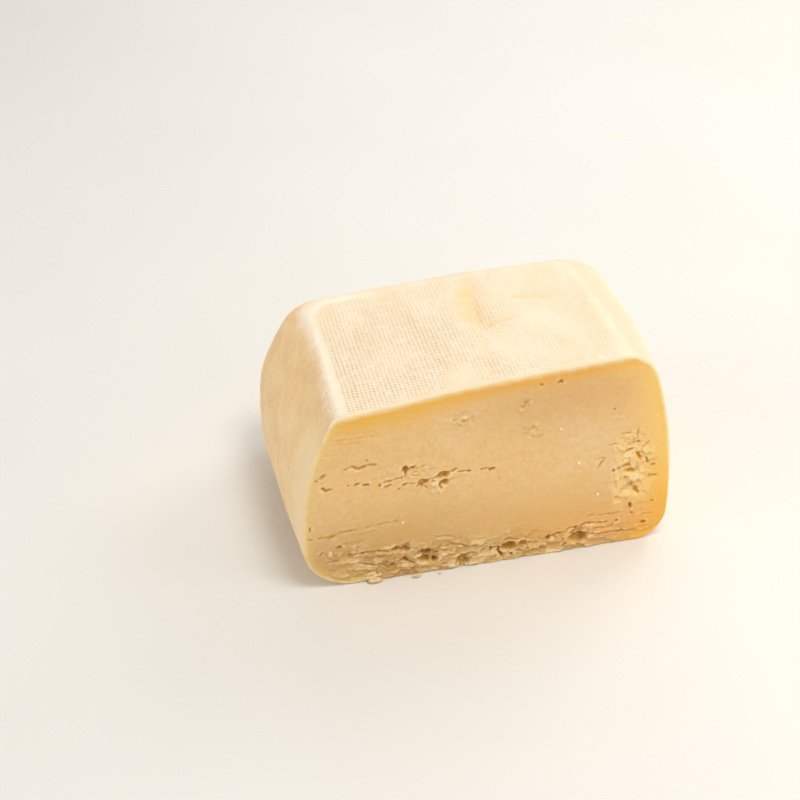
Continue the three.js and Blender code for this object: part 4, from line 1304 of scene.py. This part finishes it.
# Soft square lights, all turned towards one point: name, place, size, power and tint.
LIT_POINT = (0.0, 0.0, 0.04)
LIGHTS = (
    ("key_above", (0.15, -0.3, 0.95), 0.35, 4.2, (1.0, 0.98, 0.95)),
    ("window_right", (0.7, 0.5, 0.6), 0.5, 3.0, (1.0, 0.97, 0.92)),
    ("fill_left", (-0.9, -0.15, 0.45), 0.8, 2.2, (1.0, 0.96, 0.9)),
    ("front_right", (0.7, -0.4, 0.22), 0.4, 1.45, (1.0, 0.93, 0.82)),
    ("back_right", (0.25, 0.95, 0.62), 0.6, 1.7, (1.0, 0.98, 0.95)),
)
ROOM_LIGHT = 0.47
ROOM_TINT = (1.0, 0.99, 0.97, 1.0)

# The floor reaches this far each way, and lies just under the foot.
FLOOR_REACH = 3.0
FLOOR_HEIGHT = -0.0002


def make_camera(cut_middle):
    """The camera at the photograph's viewing angle."""
    data = bpy.data.cameras.new("view")
    data.lens = CAMERA_LENS
    data.sensor_width = CAMERA_SENSOR
    camera = bpy.data.objects.new("view", data)
    camera.location = cut_middle * MM + CAMERA_FROM_CUT
    camera.rotation_euler = (math.pi / 2 - CAMERA_DOWN, 0.0, CAMERA_TURN)
    bpy.context.scene.collection.objects.link(camera)
    bpy.context.scene.camera = camera


def area_light(name, place, size, power, tint):
    """A soft square light at a place, turned towards the lit point."""
    data = bpy.data.lights.new(name, "AREA")
    data.shape = "SQUARE"
    data.size = size
    data.energy = power
    data.color = tint
    light = bpy.data.objects.new(name, data)
    light.location = place
    way = np.array(LIT_POINT) - np.array(place)
    rise = math.atan2(way[2], math.hypot(way[0], way[1]))
    light.rotation_euler = (math.pi / 2 + rise, 0.0, math.atan2(way[1], way[0]) - math.pi / 2)
    bpy.context.scene.collection.objects.link(light)


def make_floor():
    """A plain pale floor."""
    mesh = bpy.data.meshes.new("floor")
    signs = ((-1, -1), (1, -1), (1, 1), (-1, 1))
    corners = [(FLOOR_REACH * x, FLOOR_REACH * y, FLOOR_HEIGHT) for x, y in signs]
    mesh.from_pydata(corners, [], [(0, 1, 2, 3)])
    f = Finish("pale_floor")
    f.look(Base_Color=f.blend(f.ramp(f.noise(0.3), 0.3, 0.7), FLOOR_GREY, FLOOR_PALE), Roughness=0.6)
    mesh.materials.append(f.material)
    floor = bpy.data.objects.new("floor", mesh)
    bpy.context.scene.collection.objects.link(floor)


def make_room():
    """Soft light from all round, and the lights of the studio."""
    for light in LIGHTS:
        area_light(*light)
    world = bpy.data.worlds.new("room")
    bpy.context.scene.world = world
    world.use_nodes = True
    background = world.node_tree.nodes["Background"]
    background.inputs["Color"].default_value = ROOM_TINT
    background.inputs["Strength"].default_value = ROOM_LIGHT
    bpy.context.scene.view_settings.view_transform = "Standard"


# ---- Assembly -------------------------------------------------------------------------------

cheese, cut_middle = loaf([rind_finish(), paste_finish()])
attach(cheese, "root")
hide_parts(NODE)

# the crumbs at the foot are darkened as painted shade
tan_curd = crumb_finish("loose_curd", CRUMB_TAN_SHADE, CRUMB_PALE)
pale_curd = crumb_finish("pale_curd", SPECK_WARM, SPECK_PALE)
loose = crumbs(cut_middle, [tan_curd, pale_curd])
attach(loose, "root")

make_camera(cut_middle)
make_floor()
make_room()
